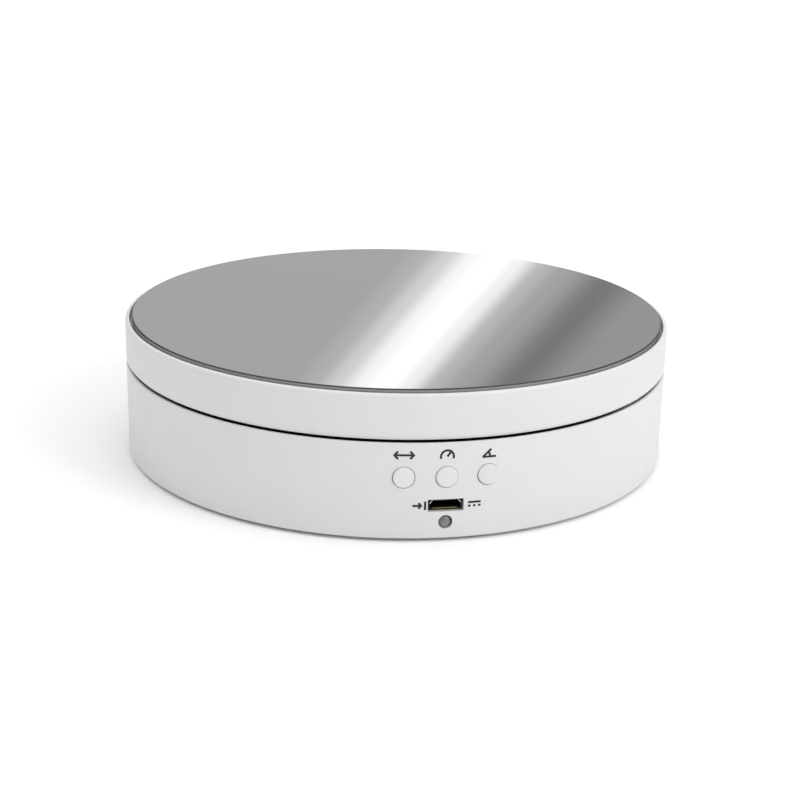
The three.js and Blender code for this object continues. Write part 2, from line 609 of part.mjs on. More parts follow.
function makeStatusLed() {
  const tip = OUTER_RADIUS + 0.1;
  const domeStart = tip - LED_RADIUS;
  const flangeStart = 63.4;
  const flangeRadius = 1.75;
  const outline = [
    [0, flangeStart],
    [flangeRadius, flangeStart],
    [flangeRadius, flangeStart + 1],
    [LED_RADIUS, flangeStart + 1],
    [LED_RADIUS, domeStart],
  ];
  const steps = 4;
  for (let i = 1; i <= steps; i += 1) {
    const angle = (Math.PI / 2) * (i / steps);
    outline.push([LED_RADIUS * Math.cos(angle), domeStart + LED_RADIUS * Math.sin(angle)]);
  }
  outline[outline.length - 1][0] = 0;
  const legThickness = 0.5;
  const legFront = flangeStart + 0.3;
  const legBack = -BOARD_FRONT + FIT;
  const leg = (x) => {
    return block(legThickness, legFront - legBack, legThickness, x, -(legFront + legBack) / 2, LED_HEIGHT);
  };
  const lens = facingFront(turned(outline, 20), 0, LED_HEIGHT);
  addPiece('status_led', combine(lens, [leg(-0.8), leg(0.8)], []), DIFFUSED_EPOXY);
}

// ---- Buttons ------------------------------------------------------------------------------------
function makeButtons() {
  const flangeFront = OUTER_RADIUS - 3.9;
  const flangeBack = flangeFront - 0.7;
  const flangeRadius = 3.15;
  const front = OUTER_RADIUS + BUTTON_PROUD;
  const edge = 0.25;
  const stemTip = flangeBack - FIT;
  const switchFront = -BOARD_FRONT + 3.5;
  BUTTON_NAMES.forEach((name, i) => {
    const x = (i - 1) * BUTTON_PITCH;
    const setBack = OUTER_RADIUS - Math.sqrt(OUTER_RADIUS ** 2 - x ** 2);
    const face = front - setBack;
    const outline = [
      [0, flangeBack],
      [flangeRadius, flangeBack],
      [flangeRadius, flangeFront],
      [BUTTON_RADIUS, flangeFront],
      [BUTTON_RADIUS, face - edge],
      [BUTTON_RADIUS - edge, face],
      [0, face],
    ];
    addPiece(`button_${name}`, facingFront(turned(outline, 24), x, BUTTON_HEIGHT), WHITE_BUTTON);
    const stem = facingFront(rod(1.7, switchFront - 1, stemTip), x, BUTTON_HEIGHT);
    addPiece(`switch_stem_${name}`, stem, BLACK_PLASTIC);
    const bodyFront = -switchFront;
    const bodyBack = BOARD_FRONT - FIT;
    const housing = block(6, bodyBack - bodyFront, 6, x, (bodyFront + bodyBack) / 2, BUTTON_HEIGHT);
    const well = facingFront(rod(1.9, switchFront - 1.6, switchFront + 1), x, BUTTON_HEIGHT);
    addPiece(`switch_housing_${name}`, combine(housing, [], [well]), BLACK_PLASTIC);
  });
}

makeBaseShell();
makeDustSeal();
makeBottomCover();
makeFeet();
makeCoverScrews();
makeSpindle();
makeTurntableCap();
makeMirror();
makeHubBush();
makePlatterGear();
makeBallRing();
makeMotor();
makePinion();
makeBoard();
makeUsbSocket();
makeStatusLed();
makeButtons();

export default stand;
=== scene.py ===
"""Motorised turntable display stand with a mirror top, finished as an add-on that can be run as a script."""
import math

import bmesh
import bpy
from bpy.props import FloatProperty, FloatVectorProperty, IntProperty, PointerProperty
from mathutils import Matrix, Vector


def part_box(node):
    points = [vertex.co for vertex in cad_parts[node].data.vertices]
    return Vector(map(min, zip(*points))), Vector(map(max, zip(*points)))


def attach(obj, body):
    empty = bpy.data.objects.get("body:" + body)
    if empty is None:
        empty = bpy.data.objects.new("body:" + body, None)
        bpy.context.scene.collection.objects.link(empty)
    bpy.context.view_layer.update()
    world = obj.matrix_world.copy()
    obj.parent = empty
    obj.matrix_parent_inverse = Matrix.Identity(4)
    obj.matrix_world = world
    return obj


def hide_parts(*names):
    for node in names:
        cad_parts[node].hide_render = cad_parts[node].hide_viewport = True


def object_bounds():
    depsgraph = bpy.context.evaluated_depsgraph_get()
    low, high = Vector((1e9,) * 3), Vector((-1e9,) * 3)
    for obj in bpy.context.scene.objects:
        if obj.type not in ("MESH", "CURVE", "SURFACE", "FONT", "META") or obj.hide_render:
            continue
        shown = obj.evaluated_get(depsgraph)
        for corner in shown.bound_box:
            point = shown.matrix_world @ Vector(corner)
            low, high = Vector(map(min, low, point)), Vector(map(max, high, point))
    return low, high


bl_info = {
    "name": "Turntable Display Stand",
    "version": (1, 0, 0),
    "blender": (4, 5, 0),
    "location": "View3D > Sidebar > Turntable",
    "description": "Builds the finished case, mirror, panel, drive and studio of a turntable display stand",
    "category": "Object",
}

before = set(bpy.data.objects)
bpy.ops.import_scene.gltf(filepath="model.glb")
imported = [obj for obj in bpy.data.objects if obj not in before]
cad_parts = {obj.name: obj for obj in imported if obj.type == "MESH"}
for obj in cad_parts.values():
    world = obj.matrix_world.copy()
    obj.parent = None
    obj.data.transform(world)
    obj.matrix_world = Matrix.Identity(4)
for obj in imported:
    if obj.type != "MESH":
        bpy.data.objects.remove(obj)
CAD_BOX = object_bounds()

MM = 0.001
TAU = 2 * math.pi
MATH = "ShaderNodeMath"
SPLIT = "ShaderNodeSeparateXYZ"
COMBINE = "ShaderNodeCombineXYZ"


# ---- Sizes read from the frame -----------------------------------------------------------------


def size_of(node):
    """Width, depth and height of a CAD node."""
    low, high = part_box(node)
    return high - low


def middle_of(node):
    """Centre of a CAD node's box."""
    low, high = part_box(node)
    return (low + high) / 2


DRUM_RADIUS = size_of("base_shell").x / 2
BASE_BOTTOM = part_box("base_shell")[0].z
SKIRT_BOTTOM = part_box("turntable_cap")[0].z
RIM_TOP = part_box("turntable_cap")[1].z
MIRROR_RADIUS = size_of("mirror_disc").x / 2
MIRROR_BOTTOM, MIRROR_TOP = (corner.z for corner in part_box("mirror_disc"))
DECK_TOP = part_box("lower_race")[0].z - 0.1 * MM
COVER_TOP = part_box("bottom_cover")[1].z
BUTTONS = ("left", "middle", "right")


# ---- Colours, nodes and meshes -----------------------------------------------------------------


def linear(code):
    """An sRGB hex colour as linear red, green, blue and alpha."""
    parts = [int(code[i : i + 2], 16) / 255 for i in (0, 2, 4)]
    return tuple(c / 12.92 if c <= 0.04045 else ((c + 0.055) / 1.055) ** 2.4 for c in parts) + (1.0,)


def add_node(tree, kind, settings=None, inputs=None):
    """Adds a node and sets its properties; inputs are values, sockets, or nodes for their first output."""
    node = tree.nodes.new(kind)
    for key, value in (settings or {}).items():
        setattr(node, key, value)
    for key, value in (inputs or {}).items():
        source = value.outputs[0] if isinstance(value, bpy.types.Node) else value
        if isinstance(source, bpy.types.NodeSocket):
            tree.links.new(source, node.inputs[key])
        else:
            node.inputs[key].default_value = source
    return node


def freeze(obj, sharp_angle=35):
    """Turns an object and its live modifiers into one plain mesh with outward faces, and shades it."""
    bpy.context.view_layer.update()
    evaluated = obj.evaluated_get(bpy.context.evaluated_depsgraph_get())
    mesh = bpy.data.meshes.new_from_object(evaluated)
    mesh.transform(obj.matrix_world)
    name = obj.name
    bpy.data.objects.remove(obj)
    work = bmesh.new()
    work.from_mesh(mesh)
    bmesh.ops.remove_doubles(work, verts=work.verts, dist=0.0005 * MM)
    if work.calc_volume(signed=True) < 0:
        bmesh.ops.reverse_faces(work, faces=work.faces)
    work.to_mesh(mesh)
    work.free()
    mesh.polygons.foreach_set("use_smooth", [True] * len(mesh.polygons))
    mesh.set_sharp_from_angle(angle=math.radians(sharp_angle))
    mesh.name = name
    piece = bpy.data.objects.new(name, mesh)
    bpy.context.scene.collection.objects.link(piece)
    return piece


def mesh_object(name, points, edges=(), faces=()):
    """A plain mesh object from points, edges and faces."""
    mesh = bpy.data.meshes.new(name)
    mesh.from_pydata([tuple(p) for p in points], edges, faces)
    obj = bpy.data.objects.new(name, mesh)
    bpy.context.scene.collection.objects.link(obj)
    return obj


def run_tree(obj, tree, values):
    """Adds a Geometry Nodes modifier and sets its inputs by socket identifier."""
    modifier = obj.modifiers.new(tree.name, "NODES")
    modifier.node_group = tree
    for item in tree.interface.items_tree:
        if item.in_out == "INPUT" and item.name in values:
            modifier[item.identifier] = values[item.name]
    return obj


def cut(obj, cutters, operation="DIFFERENCE"):
    """Cuts the cutters out of an object, or joins them to it, and removes them."""
    for cutter in cutters:
        modifier = obj.modifiers.new("Cut", "BOOLEAN")
        modifier.operation = operation
        modifier.solver = "EXACT"
        modifier.material_mode = "TRANSFER"
        modifier.object = cutter
    finished = freeze(obj)
    for cutter in cutters:
        bpy.data.objects.remove(cutter)
    return finished


def merged(name, objects, sharp_angle=35):
    """Several frozen parts of one piece as one mesh object; their finishes are kept."""
    mesh = bpy.data.meshes.new(name)
    work = bmesh.new()
    for obj in objects:
        slot_shift = len(mesh.materials)
        for finish in obj.data.materials:
            mesh.materials.append(finish)
        start = len(work.faces)
        work.from_mesh(obj.data)
        work.faces.ensure_lookup_table()
        for face in work.faces[start:]:
            face.material_index += slot_shift
        bpy.data.objects.remove(obj)
    work.to_mesh(mesh)
    work.free()
    mesh.polygons.foreach_set("use_smooth", [True] * len(mesh.polygons))
    mesh.set_sharp_from_angle(angle=math.radians(sharp_angle))
    piece = bpy.data.objects.new(name, mesh)
    bpy.context.scene.collection.objects.link(piece)
    return piece


def place(obj, matrix):
    """Puts a part's place into its mesh."""
    obj.data.transform(matrix)
    return obj


def facing_front(x, z, y=0.0):
    """The turn and shift that point +Z at the front of the stand, -Y."""
    return Matrix.Translation((x, y, z)) @ Matrix.Rotation(math.pi / 2, 4, "X")


def rounded(corners, steps=5):
    """A closed outline of (radius, height, fillet) corners, with each fillet as an arc."""
    outline = []
    for i, (radius, height, fillet) in enumerate(corners):
        here = Vector((radius, height))
        if fillet == 0:
            outline.append(here)
            continue
        before = (Vector(corners[i - 1][:2]) - here).normalized()
        after = (Vector(corners[(i + 1) % len(corners)][:2]) - here).normalized()
        half = before.angle(after) / 2
        centre = here + (before + after).normalized() * fillet / math.sin(half)
        first = here + before * fillet / math.tan(half) - centre
        last = here + after * fillet / math.tan(half) - centre
        start = math.atan2(first.y, first.x)
        sweep = math.remainder(math.atan2(last.y, last.x) - start, TAU)
        for step in range(steps + 1):
            angle = start + sweep * step / steps
            outline.append(centre + fillet * Vector((math.cos(angle), math.sin(angle))))
    return outline


# ---- Geometry Nodes trees ----------------------------------------------------------------------


def start_tree(name, sockets):
    """A new tree with a geometry input, the named inputs, and a geometry output."""
    tree = bpy.data.node_groups.new(name, "GeometryNodeTree")
    tree.interface.new_socket("Geometry", in_out="INPUT", socket_type="NodeSocketGeometry")
    for socket_name, kind, default in sockets:
        socket = tree.interface.new_socket(socket_name, in_out="INPUT", socket_type=kind)
        if default is not None:
            socket.default_value = default
    tree.interface.new_socket("Geometry", in_out="OUTPUT", socket_type="NodeSocketGeometry")
    return tree, tree.nodes.new("NodeGroupInput").outputs


def end_tree(tree, geometry, finish):
    """Realize Instances, Set Material and the output."""
    real = add_node(tree, "GeometryNodeRealizeInstances", inputs={"Geometry": geometry})
    painted = add_node(tree, "GeometryNodeSetMaterial", inputs={"Geometry": real, "Material": finish})
    add_node(tree, "NodeGroupOutput", inputs={"Geometry": painted})
    return tree


def turned_tree():
    """Sweeps an outline of points, (radius, 0, height), once round the Z axis."""
    sockets = [("Facets", "NodeSocketInt", 256), ("Finish", "NodeSocketMaterial", None)]
    tree, given = start_tree("Turned part", sockets)
    outline = given["Geometry"]
    size = add_node(tree, "GeometryNodeAttributeDomainSize", inputs={"Geometry": outline})
    rows = size.outputs["Point Count"]
    columns = add_node(tree, MATH, {"operation": "ADD"}, {0: given["Facets"], 1: 1.0})
    counts = {"Size X": 1.0, "Size Y": 1.0, "Vertices X": columns, "Vertices Y": rows}
    grid = add_node(tree, "GeometryNodeMeshGrid", inputs=counts)
    position = add_node(tree, "GeometryNodeInputPosition")
    # the grid's points run up one column after another, so each one's row is what is left over
    index = add_node(tree, "GeometryNodeInputIndex")
    row = add_node(tree, MATH, {"operation": "MODULO"}, {0: index, 1: rows})
    wanted = {"Geometry": outline, "Value": position, "Index": row}
    sample = add_node(tree, "GeometryNodeSampleIndex", {"data_type": "FLOAT_VECTOR"}, wanted)
    # the grid is one unit wide about its middle, which makes one turn
    across = add_node(tree, SPLIT, inputs={0: position}).outputs["X"]
    angle = add_node(tree, MATH, {"operation": "MULTIPLY_ADD"}, {0: across, 1: TAU, 2: TAU / 2})
    about_z = {"rotation_type": "Z_AXIS"}
    swept = add_node(tree, "ShaderNodeVectorRotate", about_z, {"Vector": sample, "Angle": angle})
    moved = add_node(tree, "GeometryNodeSetPosition", inputs={"Geometry": grid, "Position": swept})
    weld = {"Geometry": moved, "Distance": 0.0005 * MM}
    closed = add_node(tree, "GeometryNodeMergeByDistance", inputs=weld)
    return end_tree(tree, closed, given["Finish"])


def circle_tree():
    """Repeats a part round a circle about Z, turned to face outwards, and welds what touches."""
    sockets = [
        ("Count", "NodeSocketInt", 4),
        ("Circle Radius", "NodeSocketFloat", 0.0),
        ("First Angle", "NodeSocketFloat", 0.0),
        ("Finish", "NodeSocketMaterial", None),
    ]
    tree, given = start_tree("Round a circle", sockets)
    reach = add_node(tree, COMBINE, inputs={"X": given["Circle Radius"]})
    outwards = {"Geometry": given["Geometry"], "Translation": reach}
    part = add_node(tree, "GeometryNodeTransform", inputs=outwards)
    step = add_node(tree, MATH, {"operation": "DIVIDE"}, {0: TAU, 1: given["Count"]})
    turns = {0: add_node(tree, "GeometryNodeInputIndex"), 1: step, 2: given["First Angle"]}
    angle = add_node(tree, MATH, {"operation": "MULTIPLY_ADD"}, turns)
    turn = add_node(tree, COMBINE, inputs={"Z": angle})
    centres = add_node(tree, "GeometryNodePoints", inputs={"Count": given["Count"]})
    spread = {"Points": centres, "Instance": part, "Rotation": turn}
    copies = add_node(tree, "GeometryNodeInstanceOnPoints", inputs=spread)
    real = add_node(tree, "GeometryNodeRealizeInstances", inputs={"Geometry": copies})
    weld = {"Geometry": real, "Distance": 0.001 * MM}
    welded = add_node(tree, "GeometryNodeMergeByDistance", inputs=weld)
    return end_tree(tree, welded, given["Finish"])


def row_tree():
    """Repeats a part along X at an even pitch, centred on where it stands."""
    sockets = [
        ("Count", "NodeSocketInt", 5),
        ("Pitch", "NodeSocketFloat", 0.65 * MM),
        ("Finish", "NodeSocketMaterial", None),
    ]
    tree, given = start_tree("Even row", sockets)
    centring = {0: given["Count"], 1: -0.5, 2: 0.5}
    pitches = add_node(tree, MATH, {"operation": "MULTIPLY_ADD"}, centring)
    first = add_node(tree, MATH, {"operation": "MULTIPLY"}, {0: pitches, 1: given["Pitch"]})
    start = add_node(tree, COMBINE, inputs={"X": first})
    step = add_node(tree, COMBINE, inputs={"X": given["Pitch"]})
    spread = {"Count": given["Count"], "Start Location": start, "Offset": step}
    line = add_node(tree, "GeometryNodeMeshLine", inputs=spread)
    parts = {"Points": line, "Instance": given["Geometry"]}
    copies = add_node(tree, "GeometryNodeInstanceOnPoints", inputs=parts)
    return end_tree(tree, copies, given["Finish"])


def loom_tree():
    """Runs a bundle of round wires along a route of points, smoothed through every point."""
    sockets = [
        ("Wires", "NodeSocketInt", 5),
        ("Wire Radius", "NodeSocketFloat", 0.44 * MM),
        ("Bundle Radius", "NodeSocketFloat", 0.62 * MM),
        ("Steps", "NodeSocketInt", 120),
        ("Finish", "NodeSocketMaterial", None),
    ]
    tree, given = start_tree("Wire loom", sockets)
    curve = add_node(tree, "GeometryNodeMeshToCurve", inputs={"Mesh": given["Geometry"]})
    through_points = {"spline_type": "CATMULL_ROM"}
    smooth = add_node(tree, "GeometryNodeCurveSplineType", through_points, {"Curve": curve})
    stations = {"Curve": smooth, "Count": given["Steps"]}
    route = add_node(tree, "GeometryNodeResampleCurve", inputs=stations)
    sheath = {"Resolution": 12, "Radius": given["Wire Radius"]}
    wire = add_node(tree, "GeometryNodeCurvePrimitiveCircle", inputs=sheath)
    ring = {"Vertices": given["Wires"], "Radius": given["Bundle Radius"]}
    places = add_node(tree, "GeometryNodeMeshCircle", inputs=ring)
    bundle = add_node(tree, "GeometryNodeInstanceOnPoints", inputs={"Points": places, "Instance": wire})
    profile = add_node(tree, "GeometryNodeRealizeInstances", inputs={"Geometry": bundle})
    drawn = {"Curve": route, "Profile Curve": profile, "Fill Caps": True}
    loom = add_node(tree, "GeometryNodeCurveToMesh", inputs=drawn)
    return end_tree(tree, loom, given["Finish"])


def print_tree():
    """Gives drawn strokes a printed width and thickness, and wraps them onto a drum about Z."""
    sockets = [
        ("Stroke Width", "NodeSocketFloat", 0.35 * MM),
        ("Ink Thickness", "NodeSocketFloat", 0.03 * MM),
        ("Drum Radius", "NodeSocketFloat", 0.069),
        ("Finish", "NodeSocketMaterial", None),
    ]
    tree, given = start_tree("Pad print", sockets)
    curve = add_node(tree, "GeometryNodeMeshToCurve", inputs={"Mesh": given["Geometry"]})
    film = {"Width": given["Stroke Width"], "Height": given["Ink Thickness"]}
    flat = add_node(tree, "GeometryNodeCurvePrimitiveQuadrilateral", {"mode": "RECTANGLE"}, film)
    drawn = {"Curve": curve, "Profile Curve": flat, "Fill Caps": True}
    stroke = add_node(tree, "GeometryNodeCurveToMesh", inputs=drawn)
    position = add_node(tree, "GeometryNodeInputPosition")
    spot = add_node(tree, SPLIT, inputs={0: position}).outputs
    # each point starts at the back of the drum, and is turned half round and by its own share
    depth = add_node(tree, MATH, {"operation": "ADD"}, {0: given["Drum Radius"], 1: spot["Z"]})
    at_back = add_node(tree, COMBINE, inputs={"Y": depth, "Z": spot["Y"]})
    share = add_node(tree, MATH, {"operation": "DIVIDE"}, {0: spot["X"], 1: given["Drum Radius"]})
    angle = add_node(tree, MATH, {"operation": "ADD"}, {0: share, 1: math.pi})
    about_z = {"rotation_type": "Z_AXIS"}
    wrapped = add_node(tree, "ShaderNodeVectorRotate", about_z, {"Vector": at_back, "Angle": angle})
    moved = add_node(tree, "GeometryNodeSetPosition", inputs={"Geometry": stroke, "Position": wrapped})
    return end_tree(tree, moved, given["Finish"])


def tree_named(name, builder):
    """The tree of that name, built the first time it is asked for."""
    return bpy.data.node_groups.get(name) or builder()


def turned(name, corners, finish, facets=256, steps=5, on_axis=False):
    """A turned part from its (radius, height, fillet) corners, swept about Z."""
    outline = rounded(corners, steps)
    if not on_axis:
        outline.append(outline[0].copy())
    points = [(max(p.x, 0.0), 0.0, p.y) for p in outline]
    edges = [(i, i + 1) for i in range(len(points) - 1)]
    obj = mesh_object(name, points, edges)
    values = {"Facets": facets, "Finish": finish}
    return freeze(run_tree(obj, tree_named("Turned part", turned_tree), values))


def pin(name, radius, low, high, finish, bevel=0.0, facets=48):
    """A round bar about Z, with an optional bevel at its upper end."""
    corners = [(0, low, 0), (radius, low, 0), (radius, high - bevel, 0)]
    corners += [(radius - bevel, high, 0), (0, high, 0)]
    return turned(name, corners, finish, facets, on_axis=True)


def ring_corners(inner, outer, low, high, fillet):
    """The corners of a plain ring of rectangular section."""
    return [(inner, low, fillet), (outer, low, fillet), (outer, high, fillet), (inner, high, fillet)]


def in_row(obj, count, pitch, finish):
    """Copies of a part in an even row along X."""
    values = {"Count": count, "Pitch": pitch, "Finish": finish}
    return freeze(run_tree(obj, tree_named("Even row", row_tree), values))


def round_circle(obj, count, radius, first_angle, finish):
    """Copies of a part that is made about the origin, set out on a circle about Z."""
    values = {"Count": count, "Circle Radius": radius, "First Angle": first_angle, "Finish": finish}
    return freeze(run_tree(obj, tree_named("Round a circle", circle_tree), values))


def rounded_box(name, size, centre, finish, bevel):
    """A box with its edges rounded by a bevel."""
    obj = mesh_object(name, [])
    work = bmesh.new()
    bmesh.ops.create_cube(work, size=1.0)
    bmesh.ops.scale(work, vec=size, verts=work.verts)
    bmesh.ops.bevel(
        work, geom=work.edges, offset=bevel, offset_type="OFFSET", segments=3, profile=0.5, affect="EDGES"
    )
    bmesh.ops.translate(work, vec=centre, verts=work.verts)
    work.to_mesh(obj.data)
    work.free()
    obj.data.materials.append(finish)
    return freeze(obj)


def prism(name, outline, low, high, finish):
    """A flat outline of (x, y) points raised along Z between two heights."""
    count = len(outline)
    points = [(x, y, low) for x, y in outline] + [(x, y, high) for x, y in outline]
    faces = [tuple(reversed(range(count))), tuple(range(count, 2 * count))]
    faces += [(i, (i + 1) % count, count + (i + 1) % count, count + i) for i in range(count)]
    obj = mesh_object(name, points, faces=faces)
    obj.data.materials.append(finish)
    return freeze(obj)


def ball(name, radius, centre, finish):
    """A ball on the Z axis."""
    low, high = centre - radius, centre + radius
    corners = [(0, low, 0), (radius, low, radius), (radius, high, radius), (0, high, 0)]
    return turned(name, corners, finish, 40, steps=10, on_axis=True)


def screw(name, head_radius, head_height, shank_radius, shank_length, finish):
    """A pan-head cross-recess screw with ridges for its thread; the head stands on z = 0."""
    pitch = 0.75 * shank_radius
    core = 0.72 * shank_radius
    turns = int(shank_length / pitch) - 1
    corners = [(0, -shank_length, 0)]
    for i in range(turns):
        low = -shank_length + (i + 0.4) * pitch
        taper = min(1.0, 0.45 + 0.3 * i)
        corners += [(core * taper, low, 0), (shank_radius * taper, low + pitch / 2, 0)]
    corners += [
        (core, -0.3 * pitch, 0),
        (core, 0, 0),
        (head_radius, 0, 0),
        (head_radius, head_height, 0.55 * head_height),
        (0, head_height, 0),
    ]
    body = turned(name, corners, finish, 32, steps=4, on_axis=True)
    long_side, short_side, depth = 1.15 * head_radius, 0.28 * head_radius, 1.3 * head_height
    blades = []
    for width, length in ((long_side, short_side), (short_side, long_side)):
        centre = (0, 0, 1.05 * head_height)
        blades.append(rounded_box("blade", (width, length, depth), centre, finish, 0.02 * MM))
    return cut(body, blades)


def settle(piece, body, slot, *nodes):
    """Makes a finished piece ride on its body and hides the CAD nodes that it stands for; its slot is not
    used.
    """
    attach(piece, body)
    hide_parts(*nodes)
    return piece


def refinish(node, finish):
    """Gives a CAD node that keeps its shape a better finish."""
    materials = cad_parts[node].data.materials
    materials.clear()
    materials.append(finish)


# ---- Materials ---------------------------------------------------------------------------------


def start_material(name, **values):
    """A material of that name with its Principled surface, and the node that surface is."""
    material = bpy.data.materials.new(name)
    material.use_nodes = True
    surface = material.node_tree.nodes["Principled BSDF"]
    for key, value in values.items():
        surface.inputs[key.replace("_", " ")].default_value = value
    return material, material.node_tree, surface


def add_grain(tree, surface, grain, strength, depth, detail=3.0, stretch=(1.0, 1.0, 1.0)):
    """Bump from fine noise whose grain is a real size, read in Object coordinates."""
    where = add_node(tree, "ShaderNodeTexCoord").outputs["Object"]
    spread = add_node(tree, "ShaderNodeMapping", inputs={"Vector": where, "Scale": stretch})
    look = {"Vector": spread, "Scale": 1 / grain, "Detail": detail, "Roughness": 0.6}
    noise = add_node(tree, "ShaderNodeTexNoise", inputs=look)
    raised = {"Height": noise, "Strength": strength, "Distance": depth}
    bump = add_node(tree, "ShaderNodeBump", inputs=raised)
    tree.links.new(bump.outputs[0], surface.inputs["Normal"])


def add_tone(tree, surface, patch, dark, light, key="Base Color"):
    """Slow colour or roughness drift between two values over patches of a real size."""
    where = add_node(tree, "ShaderNodeTexCoord").outputs["Object"]
    drift = {"Vector": where, "Scale": 1 / patch, "Detail": 4.0}
    noise = add_node(tree, "ShaderNodeTexNoise", inputs=drift)
    ramp = add_node(tree, "ShaderNodeValToRGB", inputs={"Fac": noise})
    ramp.color_ramp.elements[0].position = 0.35
    ramp.color_ramp.elements[1].position = 0.65
    ramp.color_ramp.elements[0].color = dark
    ramp.color_ramp.elements[1].color = light
    tree.links.new(ramp.outputs[0], surface.inputs[key])


def grey(level):
    """A roughness or a level of light as a ramp colour."""
    return (level, level, level, 1.0)


def shaded(colour, share):
    """A colour made darker or lighter by a share."""
    return tuple(share * c for c in colour[:3]) + (1.0,)


def moulded_white_abs(colour):
    """Injection-moulded white ABS from a spark-eroded tool: matt, with an even grain finer than a hair."""
    material, tree, surface = start_material("moulded_white_ABS", IOR=1.53)
    add_tone(tree, surface, 9 * MM, shaded(colour, 0.985), tuple(colour))
    add_tone(tree, surface, 3 * MM, grey(0.46), grey(0.54), "Roughness")
    # the tool's grain is about 0.1 mm; it is drawn at 0.3 mm so that it shows
    add_grain(tree, surface, 0.3 * MM, 0.35, 0.02 * MM)
    return material


def moulded_button_abs(colour):
    """Buttons from a finer tool than the case, so a little smoother and brighter."""
    material, tree, surface = start_material("moulded_button_ABS", IOR=1.53)
    add_tone(tree, surface, 4 * MM, shaded(colour, 0.985), tuple(colour))
    add_tone(tree, surface, 2 * MM, grey(0.38), grey(0.46), "Roughness")
    add_grain(tree, surface, 0.2 * MM, 0.2, 0.01 * MM)
    return material


def silvered_float_glass(colour):
    """Back-silvered float glass seen from above: a clean mirror with faint wiping marks."""
    material, tree, surface = start_material("silvered_float_glass", Metallic=1.0)
    surface.inputs["Base Color"].default_value = colour
    add_tone(tree, surface, 25 * MM, grey(0.012), grey(0.03), "Roughness")
    return material


def ground_glass_edge(colour):
    """Arrissed and polished glass edge: pale grey-green, lit from inside the sheet."""
    material, tree, surface = start_material("polished_glass_edge", IOR=1.52, Coat_Weight=0.6)
    add_tone(tree, surface, 2 * MM, shaded(colour, 0.9), tuple(colour))
    add_tone(tree, surface, 1 * MM, grey(0.12), grey(0.22), "Roughness")
    add_grain(tree, surface, 0.15 * MM, 0.1, 0.01 * MM)
    return material


def glass_arris(colour):
    """The narrow ground bevel round a glass disc, painted near black as painted shade so that it reads as a
    dark line.
    """
    material, tree, surface = start_material("painted_shade_arris", IOR=1.52)
    add_tone(tree, surface, 1 * MM, shaded(colour, 0.7), tuple(colour))
    add_tone(tree, surface, 1 * MM, grey(0.3), grey(0.4), "Roughness")
    return material


def die_cut_rubber(colour):
    """Die-cut black rubber sheet: dull, dusty and slightly mottled."""
    material, tree, surface = start_material("die_cut_rubber", IOR=1.52)
    add_tone(tree, surface, 1.5 * MM, shaded(colour, 0.7), tuple(colour))
    add_tone(tree, surface, 0.8 * MM, grey(0.78), grey(0.9), "Roughness")
    add_grain(tree, surface, 0.25 * MM, 0.5, 0.04 * MM)
    return material


def slit_shade_felt():
    """Needle-punched black wool felt: no shine, and loose fibre ends about 0.1 mm thick."""
    material, tree, surface = start_material("slit_shade_felt", Sheen_Weight=0.15)
    surface.inputs["Specular IOR Level"].default_value = 0.1
    # painted shade: the felt is near black so that the slit in front of it reads dark
    add_tone(tree, surface, 0.3 * MM, linear("080808"), linear("161616"))
    add_tone(tree, surface, 0.5 * MM, grey(0.9), grey(1.0), "Roughness")
    add_grain(tree, surface, 0.12 * MM, 0.6, 0.05 * MM)
    return material


def turned_brass(colour):
    """Free-cutting brass, turned and left bare: warm, with fine rings from the tool."""
    material, tree, surface = start_material("turned_brass", Metallic=1.0)
    add_tone(tree, surface, 3 * MM, shaded(colour, 0.85), tuple(colour))
    add_tone(tree, surface, 0.8 * MM, grey(0.22), grey(0.34), "Roughness")
    add_grain(tree, surface, 0.25 * MM, 0.15, 0.01 * MM, stretch=(0.3, 0.3, 5.0))
    return material


def natural_acetal(colour):
    """Natural acetal: a milky, slightly waxy white that lets light in a little way."""
    material, tree, surface = start_material("natural_acetal", IOR=1.48)
    surface.inputs["Subsurface Weight"].default_value = 0.15
    surface.inputs["Subsurface Radius"].default_value = (0.6 * MM, 0.55 * MM, 0.45 * MM)
    surface.inputs["Subsurface Scale"].default_value = 1.0
    add_tone(tree, surface, 4 * MM, shaded(colour, 0.95), tuple(colour))
    add_tone(tree, surface, 2 * MM, grey(0.38), grey(0.48), "Roughness")
    add_grain(tree, surface, 0.3 * MM, 0.15, 0.01 * MM)
    return material


def printed_laminate(colour):
    """Glass-epoxy board under green solder mask, with the tracks showing as slightly raised lines."""
    material, tree, surface = start_material("green_solder_mask", IOR=1.5, Coat_Weight=0.4)
    where = add_node(tree, "ShaderNodeTexCoord").outputs["Object"]
    upright = {"Vector": where, "Rotation": (math.pi / 2, 0, 0)}
    turn = add_node(tree, "ShaderNodeMapping", inputs=upright)
    tracks = add_node(
        tree,
        "ShaderNodeTexBrick",
        {"offset": 0.5, "squash": 0.6, "squash_frequency": 3},
        {
            "Vector": turn,
            "Color1": shaded(colour, 0.8),
            "Color2": tuple(colour),
            "Mortar": shaded(colour, 1.5),
            "Scale": 1 / (10 * MM),
            "Mortar Size": 0.02,
            "Brick Width": 0.6,
            "Row Height": 0.13,
        },
    )
    tree.links.new(tracks.outputs["Color"], surface.inputs["Base Color"])
    add_tone(tree, surface, 2 * MM, grey(0.3), grey(0.42), "Roughness")
    raised = {"Height": tracks.outputs["Fac"], "Strength": 0.4, "Distance": 0.035 * MM}
    bump = add_node(tree, "ShaderNodeBump", inputs=raised)
    tree.links.new(bump.outputs[0], surface.inputs["Normal"])
    return material


